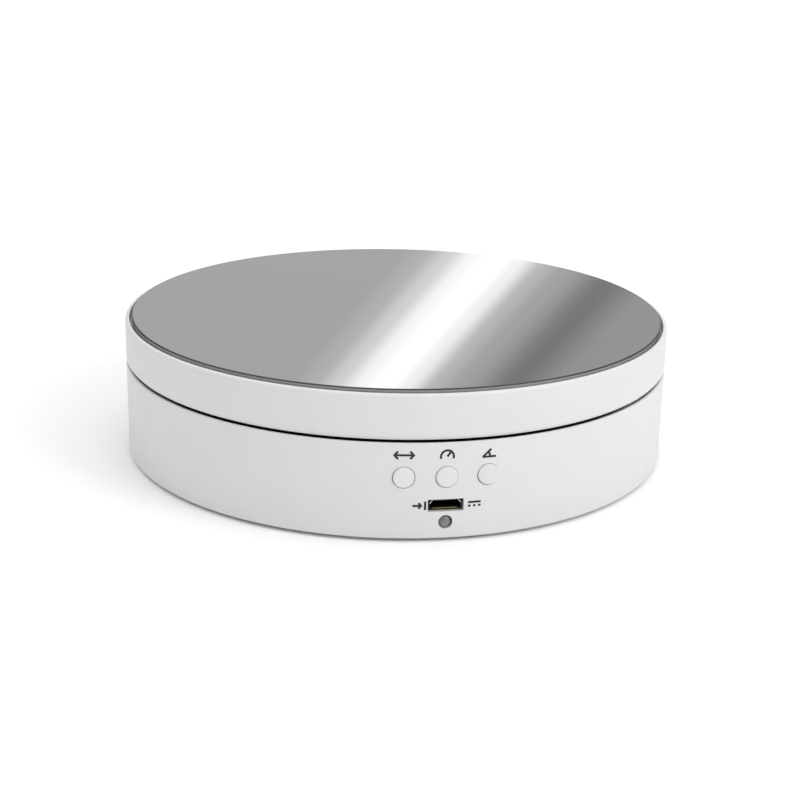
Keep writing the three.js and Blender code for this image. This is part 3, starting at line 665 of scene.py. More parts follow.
def plated_steel(name, colour, low, high):
    """Plated steel: a metal whose shine drifts a little, with fine drawing or barrel marks."""
    material, tree, surface = start_material(name, Metallic=1.0)
    add_tone(tree, surface, 2 * MM, shaded(colour, 0.9), tuple(colour))
    add_tone(tree, surface, 0.6 * MM, grey(low), grey(high), "Roughness")
    add_grain(tree, surface, 0.2 * MM, 0.12, 0.01 * MM, stretch=(1.0, 1.0, 6.0))
    return material


def moulded_plastic(name, colour, low, high, grain):
    """Small moulded technical parts: even colour, satin skin and a fine grain."""
    material, tree, surface = start_material(name, IOR=1.5)
    add_tone(tree, surface, 3 * MM, shaded(colour, 0.88), tuple(colour))
    add_tone(tree, surface, 1 * MM, grey(low), grey(high), "Roughness")
    add_grain(tree, surface, grain, 0.25, 0.015 * MM)
    return material


def pad_print_ink():
    """Black two-part printing ink, satin, with a slightly uneven film."""
    material, tree, surface = start_material("pad_print_ink", IOR=1.5)
    add_tone(tree, surface, 0.6 * MM, linear("0E0E0F"), linear("1A1A1C"))
    add_tone(tree, surface, 0.4 * MM, grey(0.35), grey(0.5), "Roughness")
    return material


def diffused_led_epoxy(colour):
    """Cast epoxy lens with diffusing powder: cloudy grey, under a clear glossy skin."""
    skin = {"Coat_Weight": 0.5, "Coat_Roughness": 0.12}
    material, tree, surface = start_material("diffused_LED_epoxy", IOR=1.54, **skin)
    add_tone(tree, surface, 1.2 * MM, shaded(colour, 0.75), tuple(colour))
    add_tone(tree, surface, 0.8 * MM, grey(0.22), grey(0.34), "Roughness")
    add_grain(tree, surface, 0.4 * MM, 0.15, 0.02 * MM)
    return material


# ---- Settings ----------------------------------------------------------------------------------


def colour_property(name, code, description):
    return FloatVectorProperty(
        name=name, description=description, subtype="COLOR", size=4, min=0, max=1, default=linear(code)
    )


def length_property(name, millimetres, description):
    return FloatProperty(
        name=name, description=description, unit="LENGTH", precision=5, min=0, default=millimetres * MM
    )


def angle_property(name, degrees, description):
    return FloatProperty(name=name, description=description, default=math.radians(degrees), subtype="ANGLE")


class CaseSettings(bpy.types.PropertyGroup):
    """The drum, the platter and their moulded edges."""

    plastic: colour_property("Case Plastic", "DDDDDC", "Colour of the moulded case and platter")
    rubber: colour_property("Feet", "2B2B2C", "Colour of the rubber feet")
    seam_gap: length_property("Seam Gap", 0.6, "Height of the slit between the base and the platter")
    wall: length_property("Wall", 2.2, "Thickness of the outer walls")
    groove_height: length_property("Groove Height", 0.7, "Height of the groove under the platter's skirt")
    groove_depth: length_property("Groove Depth", 0.6, "Depth of the groove under the platter's skirt")
    rim_round: length_property("Rim Round", 0.8, "Radius of the platter's upper outer edge")
    edge_round: length_property("Edge Round", 0.5, "Radius of the other outer edges")
    facets: IntProperty(name="Facets", description="Facets round the drum", min=48, max=720, default=360)


class MirrorSettings(bpy.types.PropertyGroup):
    """The glass disc on top."""

    silver: colour_property("Silver", "E2E3E4", "Tint of the mirror's reflection")
    edge: colour_property("Edge", "9A9E9C", "Colour of the polished edge")
    # painted shade: the bevel's colour is near black for the dark line that the glass edge shows
    arris: colour_property("Arris", "2C2E2D", "Colour of the ground bevel")
    bevel: length_property("Bevel", 0.3, "Width of the ground bevel round the upper face")


class PanelSettings(bpy.types.PropertyGroup):
    """Buttons, printed signs, inlet and indicator."""

    button: colour_property("Buttons", "DFDFDE", "Colour of the buttons")
    lens: colour_property("Lens", "7A7C7A", "Colour of the indicator lens")
    stroke: length_property("Stroke", 0.5, "Line width of the printed signs")
    sign_height: length_property("Sign Height", 2.5, "Height of the signs above the buttons")
    sign_rise: length_property("Sign Rise", 5.25, "Height of the sign centres above the button centres")


class StageSettings(bpy.types.PropertyGroup):
    """Camera, light and floor."""

    azimuth: angle_property("Azimuth", -9.85, "Camera bearing from the front")
    elevation: angle_property("Elevation", 17.52, "Camera height angle")
    roll: angle_property("Roll", 1.19, "Camera tilt about its own axis")
    distance: length_property("Distance", 401.4, "Camera distance from the middle of the stand")
    focal_length: FloatProperty(
        name="Focal Length", description="Lens focal length", default=69.14, min=1, subtype="DISTANCE_CAMERA"
    )
    floor: colour_property("Floor", "FFFFFF", "Colour of the floor")


# ---- Case --------------------------------------------------------------------------------------


class TURNTABLE_OT_base(bpy.types.Operator):
    """Build the drum-shaped base shell with its panel openings"""

    bl_idname = "turntable.base"
    bl_label = "Base Shell"

    def execute(self, context):
        case = context.scene.turntable_case
        finish = moulded_white_abs(case.plastic)
        top = SKIRT_BOTTOM - case.seam_gap
        inner = DRUM_RADIUS - case.wall
        deck_bottom = DECK_TOP - 2 * MM
        lip_outer = inner - 1.4 * MM
        lip_inner = lip_outer - 1.2 * MM
        lip_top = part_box("base_shell")[1].z
        spindle = size_of("centre_spindle").x / 2 - 2.4 * MM
        boss = spindle + 3.9 * MM
        boss_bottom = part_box("centre_spindle")[0].z
        small = 0.3 * MM
        corners = [
            (inner, BASE_BOTTOM, 0.15 * MM),
            (DRUM_RADIUS, BASE_BOTTOM, case.edge_round),
            (DRUM_RADIUS, top, 0.28 * MM),
            (DRUM_RADIUS - 0.55 * MM, top, 0.15 * MM),
            (inner, DECK_TOP, small),
            (lip_outer, DECK_TOP, small),
            (lip_outer, lip_top, small),
            (lip_inner, lip_top, small),
            (lip_inner, DECK_TOP, small),
            (spindle, DECK_TOP, 0),
            (spindle, boss_bottom, 0),
            (boss, boss_bottom, small),
            (boss, deck_bottom, small),
            (inner, deck_bottom, small),
        ]
        shell = turned("base_body", corners, finish, case.facets)
        single_holes = [self.can_hole(finish), self.inlet_hole(finish), self.lens_hole(finish)]
        body = cut(shell, single_holes + self.button_holes(finish))
        settle(body, "base", "white_abs", "base_shell")
        self.make_seal(lip_outer, inner)
        return {"FINISHED"}

    def make_seal(self, inner, outer):
        """The felt ring on the deck: a near-black part put behind the slit as painted shade, so that the slit
        reads dark; it also shuts dust out.
        """
        low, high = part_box("dust_seal")
        felt = slit_shade_felt()
        soft = 0.35 * MM
        corners = [
            (inner + 0.2 * MM, low.z, 0),
            (outer - 0.2 * MM, low.z, 0),
            (outer - 0.2 * MM, high.z, soft),
            (inner + 0.2 * MM, high.z, soft),
        ]
        settle(turned("felt_seal", corners, felt, 256), "base", "black_felt", "dust_seal")

    def can_hole(self, finish):
        low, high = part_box("motor_can")
        radius = high.x + 0.3 * MM
        hole = pin("can_hole", radius, DECK_TOP - 4 * MM, DECK_TOP + 1 * MM, finish, facets=96)
        return place(hole, Matrix.Translation((0, (low.y + high.y) / 2, 0)))

    def mouth(self, name, radius, depth, x, z, finish):
        """A round cutter from inside the wall outwards, with a flare at the outer surface."""
        flare = 0.03 * MM
        surface = math.sqrt(DRUM_RADIUS**2 - x**2)
        corners = [
            (0, DRUM_RADIUS - depth, 0),
            (radius, DRUM_RADIUS - depth, 0),
            (radius, surface - flare, 0),
            (radius + 2 * flare, surface + flare, 0),
            (radius + 2 * flare, DRUM_RADIUS + 2 * MM, 0),
            (0, DRUM_RADIUS + 2 * MM, 0),
        ]
        return place(turned(name, corners, finish, 96, on_axis=True), facing_front(x, z))

    def button_holes(self, finish):
        holes = []
        for side in BUTTONS:
            middle = middle_of("button_" + side)
            radius = (size_of("button_" + side).x - 1.4 * MM) / 2 + 0.1 * MM
            holes.append(self.mouth("hole_" + side, radius, 6 * MM, middle.x, middle.z, finish))
        return holes

    def lens_hole(self, finish):
        middle = middle_of("status_led")
        return self.mouth("lens_hole", 1.6 * MM, 4 * MM, middle.x, middle.z, finish)

    def inlet_hole(self, finish):
        middle = middle_of("usb_shell")
        mouth = (8.1 * MM, 6 * MM, 2.9 * MM)
        return rounded_box("inlet_hole", mouth, (middle.x, -DRUM_RADIUS, middle.z), finish, 0.25 * MM)


class TURNTABLE_OT_platter(bpy.types.Operator):
    """Build the platter cap that carries the mirror"""

    bl_idname = "turntable.platter"
    bl_label = "Platter Cap"

    def execute(self, context):
        case = context.scene.turntable_case
        finish = bpy.data.materials["moulded_white_ABS"]
        inner = DRUM_RADIUS - case.wall + 0.1 * MM
        groove = DRUM_RADIUS - case.groove_depth
        recess = MIRROR_RADIUS + 0.6 * MM
        web_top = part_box("mirror_pad")[0].z - 0.1 * MM
        web_bottom = web_top - 2 * MM
        rib_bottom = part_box("upper_race")[1].z + 0.1 * MM
        race = (size_of("upper_race").x - 6 * MM) / 2
        hub = 9.2 * MM
        pocket = size_of("hub_bush").x / 2 + 0.3 * MM
        pocket_floor = web_top - 2.7 * MM
        bore = 5.1 * MM
        small = 0.3 * MM
        corners = [
            (inner, SKIRT_BOTTOM, small),
            (groove, SKIRT_BOTTOM, 0.15 * MM),
            (groove, SKIRT_BOTTOM + case.groove_height, 0.1 * MM),
            (DRUM_RADIUS, SKIRT_BOTTOM + case.groove_height, 0.12 * MM),
            (DRUM_RADIUS, RIM_TOP, case.rim_round),
            (recess, RIM_TOP, 0.1 * MM),
            (recess, web_top, small),
            (pocket, web_top, small),
            (pocket, pocket_floor, 0),
            (bore, pocket_floor, 0),
            (bore, SKIRT_BOTTOM, 0),
            (hub, SKIRT_BOTTOM, small),
            (hub, web_bottom, small),
            (race - 1.8 * MM, web_bottom, small),
            (race - 1.8 * MM, rib_bottom, small),
            (race + 1.8 * MM, rib_bottom, small),
            (race + 1.8 * MM, web_bottom, small),
            (inner, web_bottom, small),
        ]
        cap = turned("platter_cap", corners, finish, case.facets, steps=6)
        settle(cap, "platter", "white_abs", "turntable_cap")
        return {"FINISHED"}


class TURNTABLE_OT_mirror(bpy.types.Operator):
    """Build the silvered glass disc and the foam tape under it"""

    bl_idname = "turntable.mirror"
    bl_label = "Mirror"

    def execute(self, context):
        mirror = context.scene.turntable_mirror
        facets = context.scene.turntable_case.facets
        silver = silvered_float_glass(mirror.silver)
        bevel = mirror.bevel
        corners = [
            (0, MIRROR_BOTTOM, 0),
            (MIRROR_RADIUS - bevel, MIRROR_BOTTOM, 0),
            (MIRROR_RADIUS, MIRROR_BOTTOM + bevel, 0),
            (MIRROR_RADIUS, MIRROR_TOP - bevel, 0),
            (MIRROR_RADIUS - bevel, MIRROR_TOP, 0),
            (0, MIRROR_TOP, 0),
        ]
        disc = turned("mirror", corners, silver, facets, on_axis=True)
        edge, arris = ground_glass_edge(mirror.edge), glass_arris(mirror.arris)
        disc.data.materials.append(edge)
        disc.data.materials.append(arris)
        for face in disc.data.polygons:
            if abs(face.normal.z) < 0.1:
                face.material_index = disc.data.materials.find(edge.name)
            elif abs(face.normal.z) < 0.95:
                face.material_index = disc.data.materials.find(arris.name)
        disc.data.set_sharp_from_angle(angle=math.radians(20))
        settle(disc, "platter", "silver_mirror", "mirror_disc")

        low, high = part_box("mirror_pad")
        foam = moulded_plastic("closed_cell_foam_tape", linear("DCDCD8"), 0.85, 0.95, 0.5 * MM)
        soft = 0.1 * MM
        inner = 12 * MM
        pad = turned("foam_pad", ring_corners(inner, high.x, low.z, high.z, soft), foam, 128, steps=2)
        settle(pad, "platter", "foam_tape", "mirror_pad")
        return {"FINISHED"}


# ---- Underside ---------------------------------------------------------------------------------


def circle_place(node):
    """Radius and angle, about the stand's axis, of a CAD node."""
    middle = middle_of(node)
    return math.hypot(middle.x, middle.y), math.atan2(middle.y, middle.x)


class TURNTABLE_OT_underside(bpy.types.Operator):
    """Build the bottom cover, the rubber feet and the cover screws"""

    bl_idname = "turntable.underside"
    bl_label = "Underside"

    def execute(self, context):
        case = context.scene.turntable_case
        self.make_cover(bpy.data.materials["moulded_white_ABS"], case.facets)
        self.make_feet(die_cut_rubber(case.rubber))
        self.make_screws(plated_steel("zinc_plated_screw", linear("C6C8CA"), 0.25, 0.4))
        return {"FINISHED"}

    def make_cover(self, finish, facets):
        low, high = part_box("bottom_cover")
        relief = 0.35 * MM
        soft = 0.25 * MM
        gate, inner_ring, outer_ring = 4 * MM, 16 * MM, 44 * MM
        corners = [
            (0, low.z + relief, 0),
            (gate, low.z + relief, 0.1 * MM),
            (gate, low.z, soft),
            (inner_ring, low.z, soft),
            (inner_ring, low.z + relief, 0.1 * MM),
            (outer_ring, low.z + relief, 0.1 * MM),
            (outer_ring, low.z, soft),
            (high.x, low.z, soft),
            (high.x, high.z, soft),
            (0, high.z, 0),
        ]
        disc = turned("cover_plate", corners, finish, facets, steps=3, on_axis=True)
        foot_circle, foot_angle = circle_place("rubber_foot_1")
        screw_circle, screw_angle = circle_place("cover_screw_1")
        foot_recess = pin("foot_recess", 6.2 * MM, -MM, low.z + MM, finish, facets=72)
        head_recess = pin("head_recess", 3.1 * MM, -MM, low.z + MM, finish, facets=48)
        shank_hole = pin("shank_hole", 1.6 * MM, low.z + 0.5 * MM, high.z + MM, finish, facets=32)
        cutters = [
            round_circle(foot_recess, 4, foot_circle, foot_angle, finish),
            round_circle(head_recess, 4, screw_circle, screw_angle, finish),
            round_circle(shank_hole, 4, screw_circle, screw_angle, finish),
        ]
        settle(cut(disc, cutters), "base", "white_abs", "bottom_cover")

    def make_feet(self, rubber):
        low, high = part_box("rubber_foot_1")
        radius = (high.x - low.x) / 2
        circle, angle = circle_place("rubber_foot_1")
        dish = 0.12 * MM
        corners = [
            (0, low.z + dish, 0),
            (radius - 1.6 * MM, low.z + dish, 0),
            (radius - 1.3 * MM, low.z, 0.1 * MM),
            (radius, low.z, 0.3 * MM),
            (radius, high.z, 0.05 * MM),
            (0, high.z, 0),
        ]
        foot = turned("feet", corners, rubber, 72, steps=4, on_axis=True)
        feet = round_circle(foot, 4, circle, angle, rubber)
        settle(feet, "base", "black_rubber", *(f"rubber_foot_{i}" for i in range(1, 5)))

    def make_screws(self, zinc):
        low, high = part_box("cover_screw_1")
        head = 0.9 * MM
        circle, angle = circle_place("cover_screw_1")
        one = screw("cover_screws", (high.x - low.x) / 2, head, 1.3 * MM, high.z - low.z - head, zinc)
        place(one, Matrix.Translation((0, 0, low.z + head)) @ Matrix.Rotation(math.pi, 4, "X"))
        screws = round_circle(one, 4, circle, angle, zinc)
        settle(screws, "base", "zinc_screws", *(f"cover_screw_{i}" for i in range(1, 5)))


# ---- Bearings ----------------------------------------------------------------------------------


class TURNTABLE_OT_bearings(bpy.types.Operator):
    """Build the centre spindle and its bush, and the ring of balls between its two races"""

    bl_idname = "turntable.bearings"
    bl_label = "Bearings"

    def execute(self, context):
        steel = plated_steel("ground_bearing_steel", linear("BEC0C2"), 0.12, 0.22)
        self.make_spindle(steel)
        self.make_bush(turned_brass(linear("C2A25C")))
        self.make_races(steel)
        self.make_cage(moulded_plastic("black_moulded_nylon", linear("18181A"), 0.4, 0.55, 0.3 * MM))
        self.make_balls(steel)
        return {"FINISHED"}

    def make_spindle(self, steel):
        low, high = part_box("centre_spindle")
        radius = 3 * MM
        shoulder = high.x
        shoulder_top = SKIRT_BOTTOM - bpy.context.scene.turntable_case.seam_gap
        thread = 1.6 * MM
        soft = 0.25 * MM
        corners = [
            (0, low.z, 0),
            (radius, low.z, soft),
            (radius, DECK_TOP + 0.1 * MM, 0),
            (shoulder, DECK_TOP + 0.1 * MM, 0),
            (shoulder, shoulder_top, soft),
            (radius, shoulder_top, 0),
            (radius, high.z, soft),
            (thread, high.z, 0.1 * MM),
            (thread, high.z - 8 * MM, 0),
            (0, high.z - 9 * MM, 0),
        ]
        settle(turned("spindle", corners, steel, 64, on_axis=True), "base", "hard_steel", "centre_spindle")
        low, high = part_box("spindle_washer")
        soft = 0.12 * MM
        washer = turned("washer", ring_corners(1.7 * MM, high.x, low.z, high.z, soft), steel, 64)
        settle(washer, "base", "hard_steel", "spindle_washer")
        low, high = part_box("spindle_screw")
        head = 1.2 * MM
        zinc = bpy.data.materials["zinc_plated_screw"]
        middle_screw = screw("axis_screw", high.x, head, 1.45 * MM, high.z - low.z - head, zinc)
        place(middle_screw, Matrix.Translation((0, 0, high.z - head)))
        settle(middle_screw, "base", "zinc_screws", "spindle_screw")

    def make_bush(self, brass):
        low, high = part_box("hub_bush")
        bore = 3.08 * MM
        outer = 5 * MM
        flange_bottom = high.z - 0.7 * MM
        corners = [
            (bore, low.z, 0.15 * MM),
            (outer, low.z, 0.35 * MM),
            (outer, flange_bottom, 0),
            (high.x, flange_bottom, 0.1 * MM),
            (high.x, high.z, 0.15 * MM),
            (bore, high.z, 0.15 * MM),
        ]
        settle(turned("bush", corners, brass, 96), "platter", "bush_brass", "hub_bush")

    def make_races(self, steel):
        for name, body, side in (("lower", "base", 1), ("upper", "platter", -1)):
            low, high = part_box(name + "_race")
            outer = high.x
            inner = outer - 6 * MM
            middle = (outer + inner) / 2
            face, back = (high.z, low.z) if side == 1 else (low.z, high.z)
            track = 0.9 * MM
            soft = 0.12 * MM
            corners = [
                (inner, back, soft),
                (outer, back, soft),
                (outer, face, soft),
                (middle + track, face, 0.05 * MM),
                (middle, face - side * 0.1 * MM, 1.5 * MM),
                (middle - track, face, 0.05 * MM),
                (inner, face, soft),
            ]
            settle(turned(name + "_track", corners, steel, 192), body, "hard_steel", name + "_race")

    def make_cage(self, nylon):
        low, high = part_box("ball_cage")
        inner = high.x - 5.6 * MM
        soft = 0.25 * MM
        ring = turned("cage", ring_corners(inner, high.x, low.z, high.z, soft), nylon, 192)
        circle, angle = circle_place("bearing_ball_1")
        pocket = pin("pocket", 2.15 * MM, low.z - MM, high.z + MM, nylon)
        cage = cut(ring, [round_circle(pocket, 8, circle, angle, nylon)])
        settle(cage, "ball_ring", "black_plastic", "ball_cage")

    def make_balls(self, steel):
        circle, angle = circle_place("bearing_ball_1")
        one = ball("balls", 2 * MM, middle_of("bearing_ball_1").z, steel)
        balls = round_circle(one, 8, circle, angle, steel)
        settle(balls, "ball_ring", "hard_steel", *(f"bearing_ball_{i}" for i in range(1, 9)))


# ---- Drive -------------------------------------------------------------------------------------


class TURNTABLE_OT_gears(bpy.types.Operator):
    """Build the platter gear with its screws, and the pinion on its shaft"""

    bl_idname = "turntable.gears"
    bl_label = "Gears"

    tooth_module = 0.8 * MM
    pressure_angle = math.radians(20)
    backlash = 0.2 * MM

    def execute(self, context):
        acetal = natural_acetal(linear("E8E5DC"))
        zinc = bpy.data.materials["zinc_plated_screw"]
        low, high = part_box("platter_gear")
        web = (12 * MM, 18.5 * MM, 0.7 * MM)
        wheel = self.gear("platter_wheel", 54, 9.3 * MM, low.z, high.z, math.pi / 2, web, acetal)
        hole = pin("hole", 1.2 * MM, low.z - MM, high.z + MM, acetal)
        circle, angle = circle_place("gear_screw_1")
        drilled = cut(wheel, [round_circle(hole, 3, circle, angle, acetal)])
        settle(drilled, "platter", "natural_acetal", "platter_gear")

        screw_low, screw_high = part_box("gear_screw_1")
        head = 1.1 * MM
        shank = screw_high.z - screw_low.z - head
        one = screw("gear_screws", (screw_high.x - screw_low.x) / 2, head, MM, shank, zinc)
        place(one, Matrix.Translation((0, 0, screw_low.z + head)) @ Matrix.Rotation(math.pi, 4, "X"))
        screws = round_circle(one, 3, circle, angle, zinc)
        settle(screws, "platter", "zinc_screws", *(f"gear_screw_{i}" for i in range(1, 4)))

        low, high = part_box("drive_pinion")
        shaft_y = middle_of("motor_shaft").y
        web = (3.6 * MM, 5.2 * MM, 0.3 * MM)
        small = self.gear("pinion", 18, 2.6 * MM, low.z, high.z, -math.pi / 2 + math.pi / 18, web, acetal)
        place(small, Matrix.Translation((0, shaft_y, 0)))
        settle(small, "pinion", "natural_acetal", "drive_pinion")
        low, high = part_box("motor_shaft")
        steel = bpy.data.materials["ground_bearing_steel"]
        shaft = pin("output_shaft", 2.5 * MM, low.z, high.z, steel, bevel=0.3 * MM)
        place(shaft, Matrix.Translation((0, shaft_y, 0)))
        settle(shaft, "pinion", "hard_steel", "motor_shaft")
        return {"FINISHED"}

    def tooth_outline(self, teeth):
        """One tooth and half a gap on each side, as (radius, angle) points about angle 0."""
        pitch = self.tooth_module * teeth / 2
        base = pitch * math.cos(self.pressure_angle)
        tip = pitch + 0.9 * self.tooth_module
        root = pitch - 1.25 * self.tooth_module

        def involute(radius):
            roll = math.sqrt(max(0.0, (radius / base) ** 2 - 1))
            return roll - math.atan(roll)

        half_tooth = math.pi / (2 * teeth) - self.backlash / (4 * pitch) + involute(pitch)
        start = max(base, root)
        flank = [start + (tip - start) * i / 5 for i in range(6)]
        rising = [(radius, involute(radius) - half_tooth) for radius in flank]
        half_gap = math.pi / teeth
        foot = (root, -(half_tooth + 0.15 * (half_gap - half_tooth)))
        left = [(root, -half_gap), foot] + rising
        return left + [(radius, -angle) for radius, angle in reversed(left)]

    def gear(self, name, teeth, bore, low, high, first_angle, web, finish):
        """A spur gear: one tooth's slice, open at its sides, repeated round the axis and welded."""
        web_inner, web_outer, web_depth = web
        outline = self.tooth_outline(teeth)
        chamfer = 0.12 * MM
        upper = [
            (web_outer, high),
            (web_outer - web_depth / 3, high - web_depth),
            (web_inner + web_depth / 3, high - web_depth),
            (web_inner, high),
            (bore, high),
        ]
        lower = [(radius, low + high - z) for radius, z in reversed(upper)]
        rows = [[(radius - chamfer, angle, high) for radius, angle in outline]]
        rows += [[(radius, angle, z) for _, angle in outline] for radius, z in upper + lower]
        rows.append([(radius - chamfer, angle, low) for radius, angle in outline])
        rows.append([(radius, angle, low + chamfer) for radius, angle in outline])
        rows.append([(radius, angle, high - chamfer) for radius, angle in outline])
        points = [(r * math.cos(a), r * math.sin(a), z) for row in rows for r, a, z in row]
        columns = len(outline)
        faces = []
        for i in range(len(rows)):
            here = i * columns
            after = (i + 1) % len(rows) * columns
            faces += [(here + j, here + j + 1, after + j + 1, after + j) for j in range(columns - 1)]
        slice_ = mesh_object(name, points, faces=faces)
        return round_circle(slice_, teeth, 0.0, first_angle, finish)


class TURNTABLE_OT_motor(bpy.types.Operator):
    """Build the geared stepper, its screws and the wires that run to the board"""

    bl_idname = "turntable.motor"
    bl_label = "Motor"

    def execute(self, context):
        sheet = plated_steel("zinc_plated_sheet", linear("C4C6C6"), 0.3, 0.45)
        zinc = bpy.data.materials["zinc_plated_screw"]
        low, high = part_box("motor_can")
        radius = (high.x - low.x) / 2
        can_y = (low.y + high.y) / 2
        corners = [
            (0, low.z, 0),
            (5 * MM, low.z, 0.2 * MM),
            (5.6 * MM, low.z + 0.5 * MM, 0.2 * MM),
            (radius - 2 * MM, low.z + 0.5 * MM, 0.2 * MM),
            (radius - 1.5 * MM, low.z, 0.2 * MM),
            (radius, low.z, 0.8 * MM),
            (radius, high.z, 0.2 * MM),
            (0, high.z, 0),
        ]
        can = turned("stepper_can", corners, sheet, 128, on_axis=True)
        place(can, Matrix.Translation((0, can_y, 0)))
        seat = pin("seat", 2.7 * MM, high.z - 4 * MM, high.z + MM, sheet)
        place(seat, Matrix.Translation((0, middle_of("motor_shaft").y, 0)))
        settle(cut(can, [seat]), "base", "zinc_sheet", "motor_can")
        refinish("motor_flange", sheet)

        low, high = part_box("motor_screw_right")
        head = 1.5 * MM
        one = screw("motor_screws", (high.x - low.x) / 2, head, 1.2 * MM, high.z - low.z - head, zinc)
        place(one, Matrix.Translation((0, 0, high.z - head)))
        pair = round_circle(one, 2, (low.x + high.x) / 2, 0.0, zinc)
        place(pair, Matrix.Translation((0, can_y, 0)))
        settle(pair, "base", "zinc_screws", "motor_screw_left", "motor_screw_right")

        blue = moulded_plastic("blue_moulded_nylon", linear("2C55A2"), 0.4, 0.55, 0.3 * MM)
        node = "motor_terminal_cover"
        box = rounded_box("wire_cover", size_of(node), middle_of(node), blue, 0.5 * MM)
        settle(box, "base", "blue_nylon", node)
        self.make_wires(can_y, radius)
        return {"FINISHED"}

    def make_wires(self, can_y, can_radius):
        """Five wires from the motor, along the floor of the case, to the connector on the board."""
        floor = COVER_TOP + 2 * MM
        plug = middle_of("motor_connector")
        plug_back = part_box("motor_connector")[1].y
        motor_back = can_y + can_radius
        route = [
            (6 * MM, motor_back + 4.2 * MM, 8.6 * MM),
            (12 * MM, motor_back + 2.5 * MM, 6.5 * MM),
            (20 * MM, can_y + 4 * MM, floor),
            (20 * MM, 10 * MM, floor),
            (14 * MM, -24 * MM, floor),
            (plug.x, plug_back + 9 * MM, plug.z - MM),
            (plug.x, plug_back + 0.3 * MM, plug.z),
        ]
        edges = [(i, i + 1) for i in range(len(route) - 1)]
        pvc = moulded_plastic("PVC_wire_sleeve", linear("2A2A2C"), 0.5, 0.65, 0.4 * MM)
        drawing = mesh_object("motor_wires", route, edges)
        loom = run_tree(drawing, tree_named("Wire loom", loom_tree), {"Finish": pvc})
        wires = freeze(loom)
        settle(wires, "base", "wire_sleeve", "motor_lead")


# ---- Board -------------------------------------------------------------------------------------


class TURNTABLE_OT_board(bpy.types.Operator):
    """Build what stands on the control board, and finish the board itself"""

    bl_idname = "turntable.board"
    bl_label = "Control Board"

    def execute(self, context):
        refinish("control_board", printed_laminate(linear("1E5B38")))
        self.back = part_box("control_board")[1].y
        black = moulded_plastic("black_epoxy_package", linear("1C1C1E"), 0.5, 0.65, 0.2 * MM)
        tin = plated_steel("tinned_lead", linear("C8CACB"), 0.25, 0.4)
        self.make_chip("controller_chip", 4, black, tin)
        self.make_chip("driver_chip", 8, black, tin)
        self.make_connector(moulded_plastic("natural_nylon", linear("E3E0D6"), 0.4, 0.5, 0.3 * MM))
        self.make_capacitor(plated_steel("drawn_aluminium_can", linear("C9CBCD"), 0.3, 0.42))
        self.make_switches(bpy.data.materials["black_moulded_nylon"])
        self.make_screws(bpy.data.materials["zinc_plated_screw"])
        return {"FINISHED"}

    def make_chip(self, node, count, black, tin):
        size = size_of(node)
        middle = middle_of(node)
        body = rounded_box(node + "_body", size, middle, black, 0.15 * MM)
        legs = []
        for side in (-1, 1):
            place_z = side * (size.z / 2 + 0.4 * MM)
            leg = rounded_box("leg", (0.4 * MM, 0.2 * MM, 1.0 * MM), (0, 0, place_z), tin, 0.04 * MM)
            row = in_row(leg, count, size.x / (count + 0.2), tin)
            legs.append(place(row, Matrix.Translation((middle.x, self.back + 0.12 * MM, middle.z))))
        settle(merged(node + "_package", [body] + legs), "base", "black_plastic", node)

    def make_connector(self, nylon):
        node = "motor_connector"
        size = size_of(node)
        middle = middle_of(node)
        housing = rounded_box("wire_connector", size, middle, nylon, 0.3 * MM)
        notch = rounded_box("notch", (1.2 * MM, 3 * MM, 1.2 * MM), (0, 0, 0), nylon, 0.1 * MM)
        upper_face = middle + Vector((0, 0, size.z / 2))
        notches = place(in_row(notch, 5, 2 * MM, nylon), Matrix.Translation(upper_face))
        settle(cut(housing, [notches]), "base", "connector_nylon", node)

    def make_capacitor(self, aluminium):
        low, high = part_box("filter_capacitor")
        middle = middle_of("filter_capacitor")
        radius = (high.x - low.x) / 2
        length = high.y - low.y
        corners = [
            (0, 0, 0),
            (radius, 0, 0.3 * MM),
            (radius, 0.7 * MM, 0.1 * MM),
            (radius - 0.25 * MM, 1.0 * MM, 0.15 * MM),
            (radius, 1.3 * MM, 0.1 * MM),
            (radius, length, 0.4 * MM),
            (0, length, 0),
        ]
        can = turned("smoothing_capacitor", corners, aluminium, 64, on_axis=True)
        place(can, Matrix.Translation((middle.x, low.y, middle.z)) @ Matrix.Rotation(-math.pi / 2, 4, "X"))
        settle(can, "base", "capacitor_can", "filter_capacitor")

    def make_switches(self, nylon):
        for side in BUTTONS:
            node = "switch_housing_" + side
            middle = middle_of(node)
            low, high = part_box(node)
            body = rounded_box("tact_switch_" + side, high - low, middle, nylon, 0.3 * MM)
            well = pin("well", 1.9 * MM, -low.y - 1.6 * MM, -low.y + MM, nylon)
            place(well, facing_front(middle.x, middle.z))
            settle(cut(body, [well]), "base", "black_plastic", node)
            low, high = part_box("switch_stem_" + side)
            stem = pin("switch_plunger_" + side, 1.7 * MM, -high.y, -low.y, nylon, bevel=0.2 * MM)
            place(stem, facing_front(middle.x, middle.z))
            settle(stem, side + "_button", "black_plastic", "switch_stem_" + side)

    def make_screws(self, zinc):
        low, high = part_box("board_screw_right")
        middle = middle_of("board_screw_right")
        head = 1.1 * MM
        one = screw("board_screws", (high.x - low.x) / 2, head, 0.8 * MM, high.y - low.y - head, zinc)
        pair = round_circle(one, 2, middle.x, 0.0, zinc)
        place(pair, Matrix.Translation((0, high.y - head, middle.z)) @ Matrix.Rotation(-math.pi / 2, 4, "X"))
        settle(pair, "base", "zinc_screws", "board_screw_left", "board_screw_right")


# ---- Panel -------------------------------------------------------------------------------------


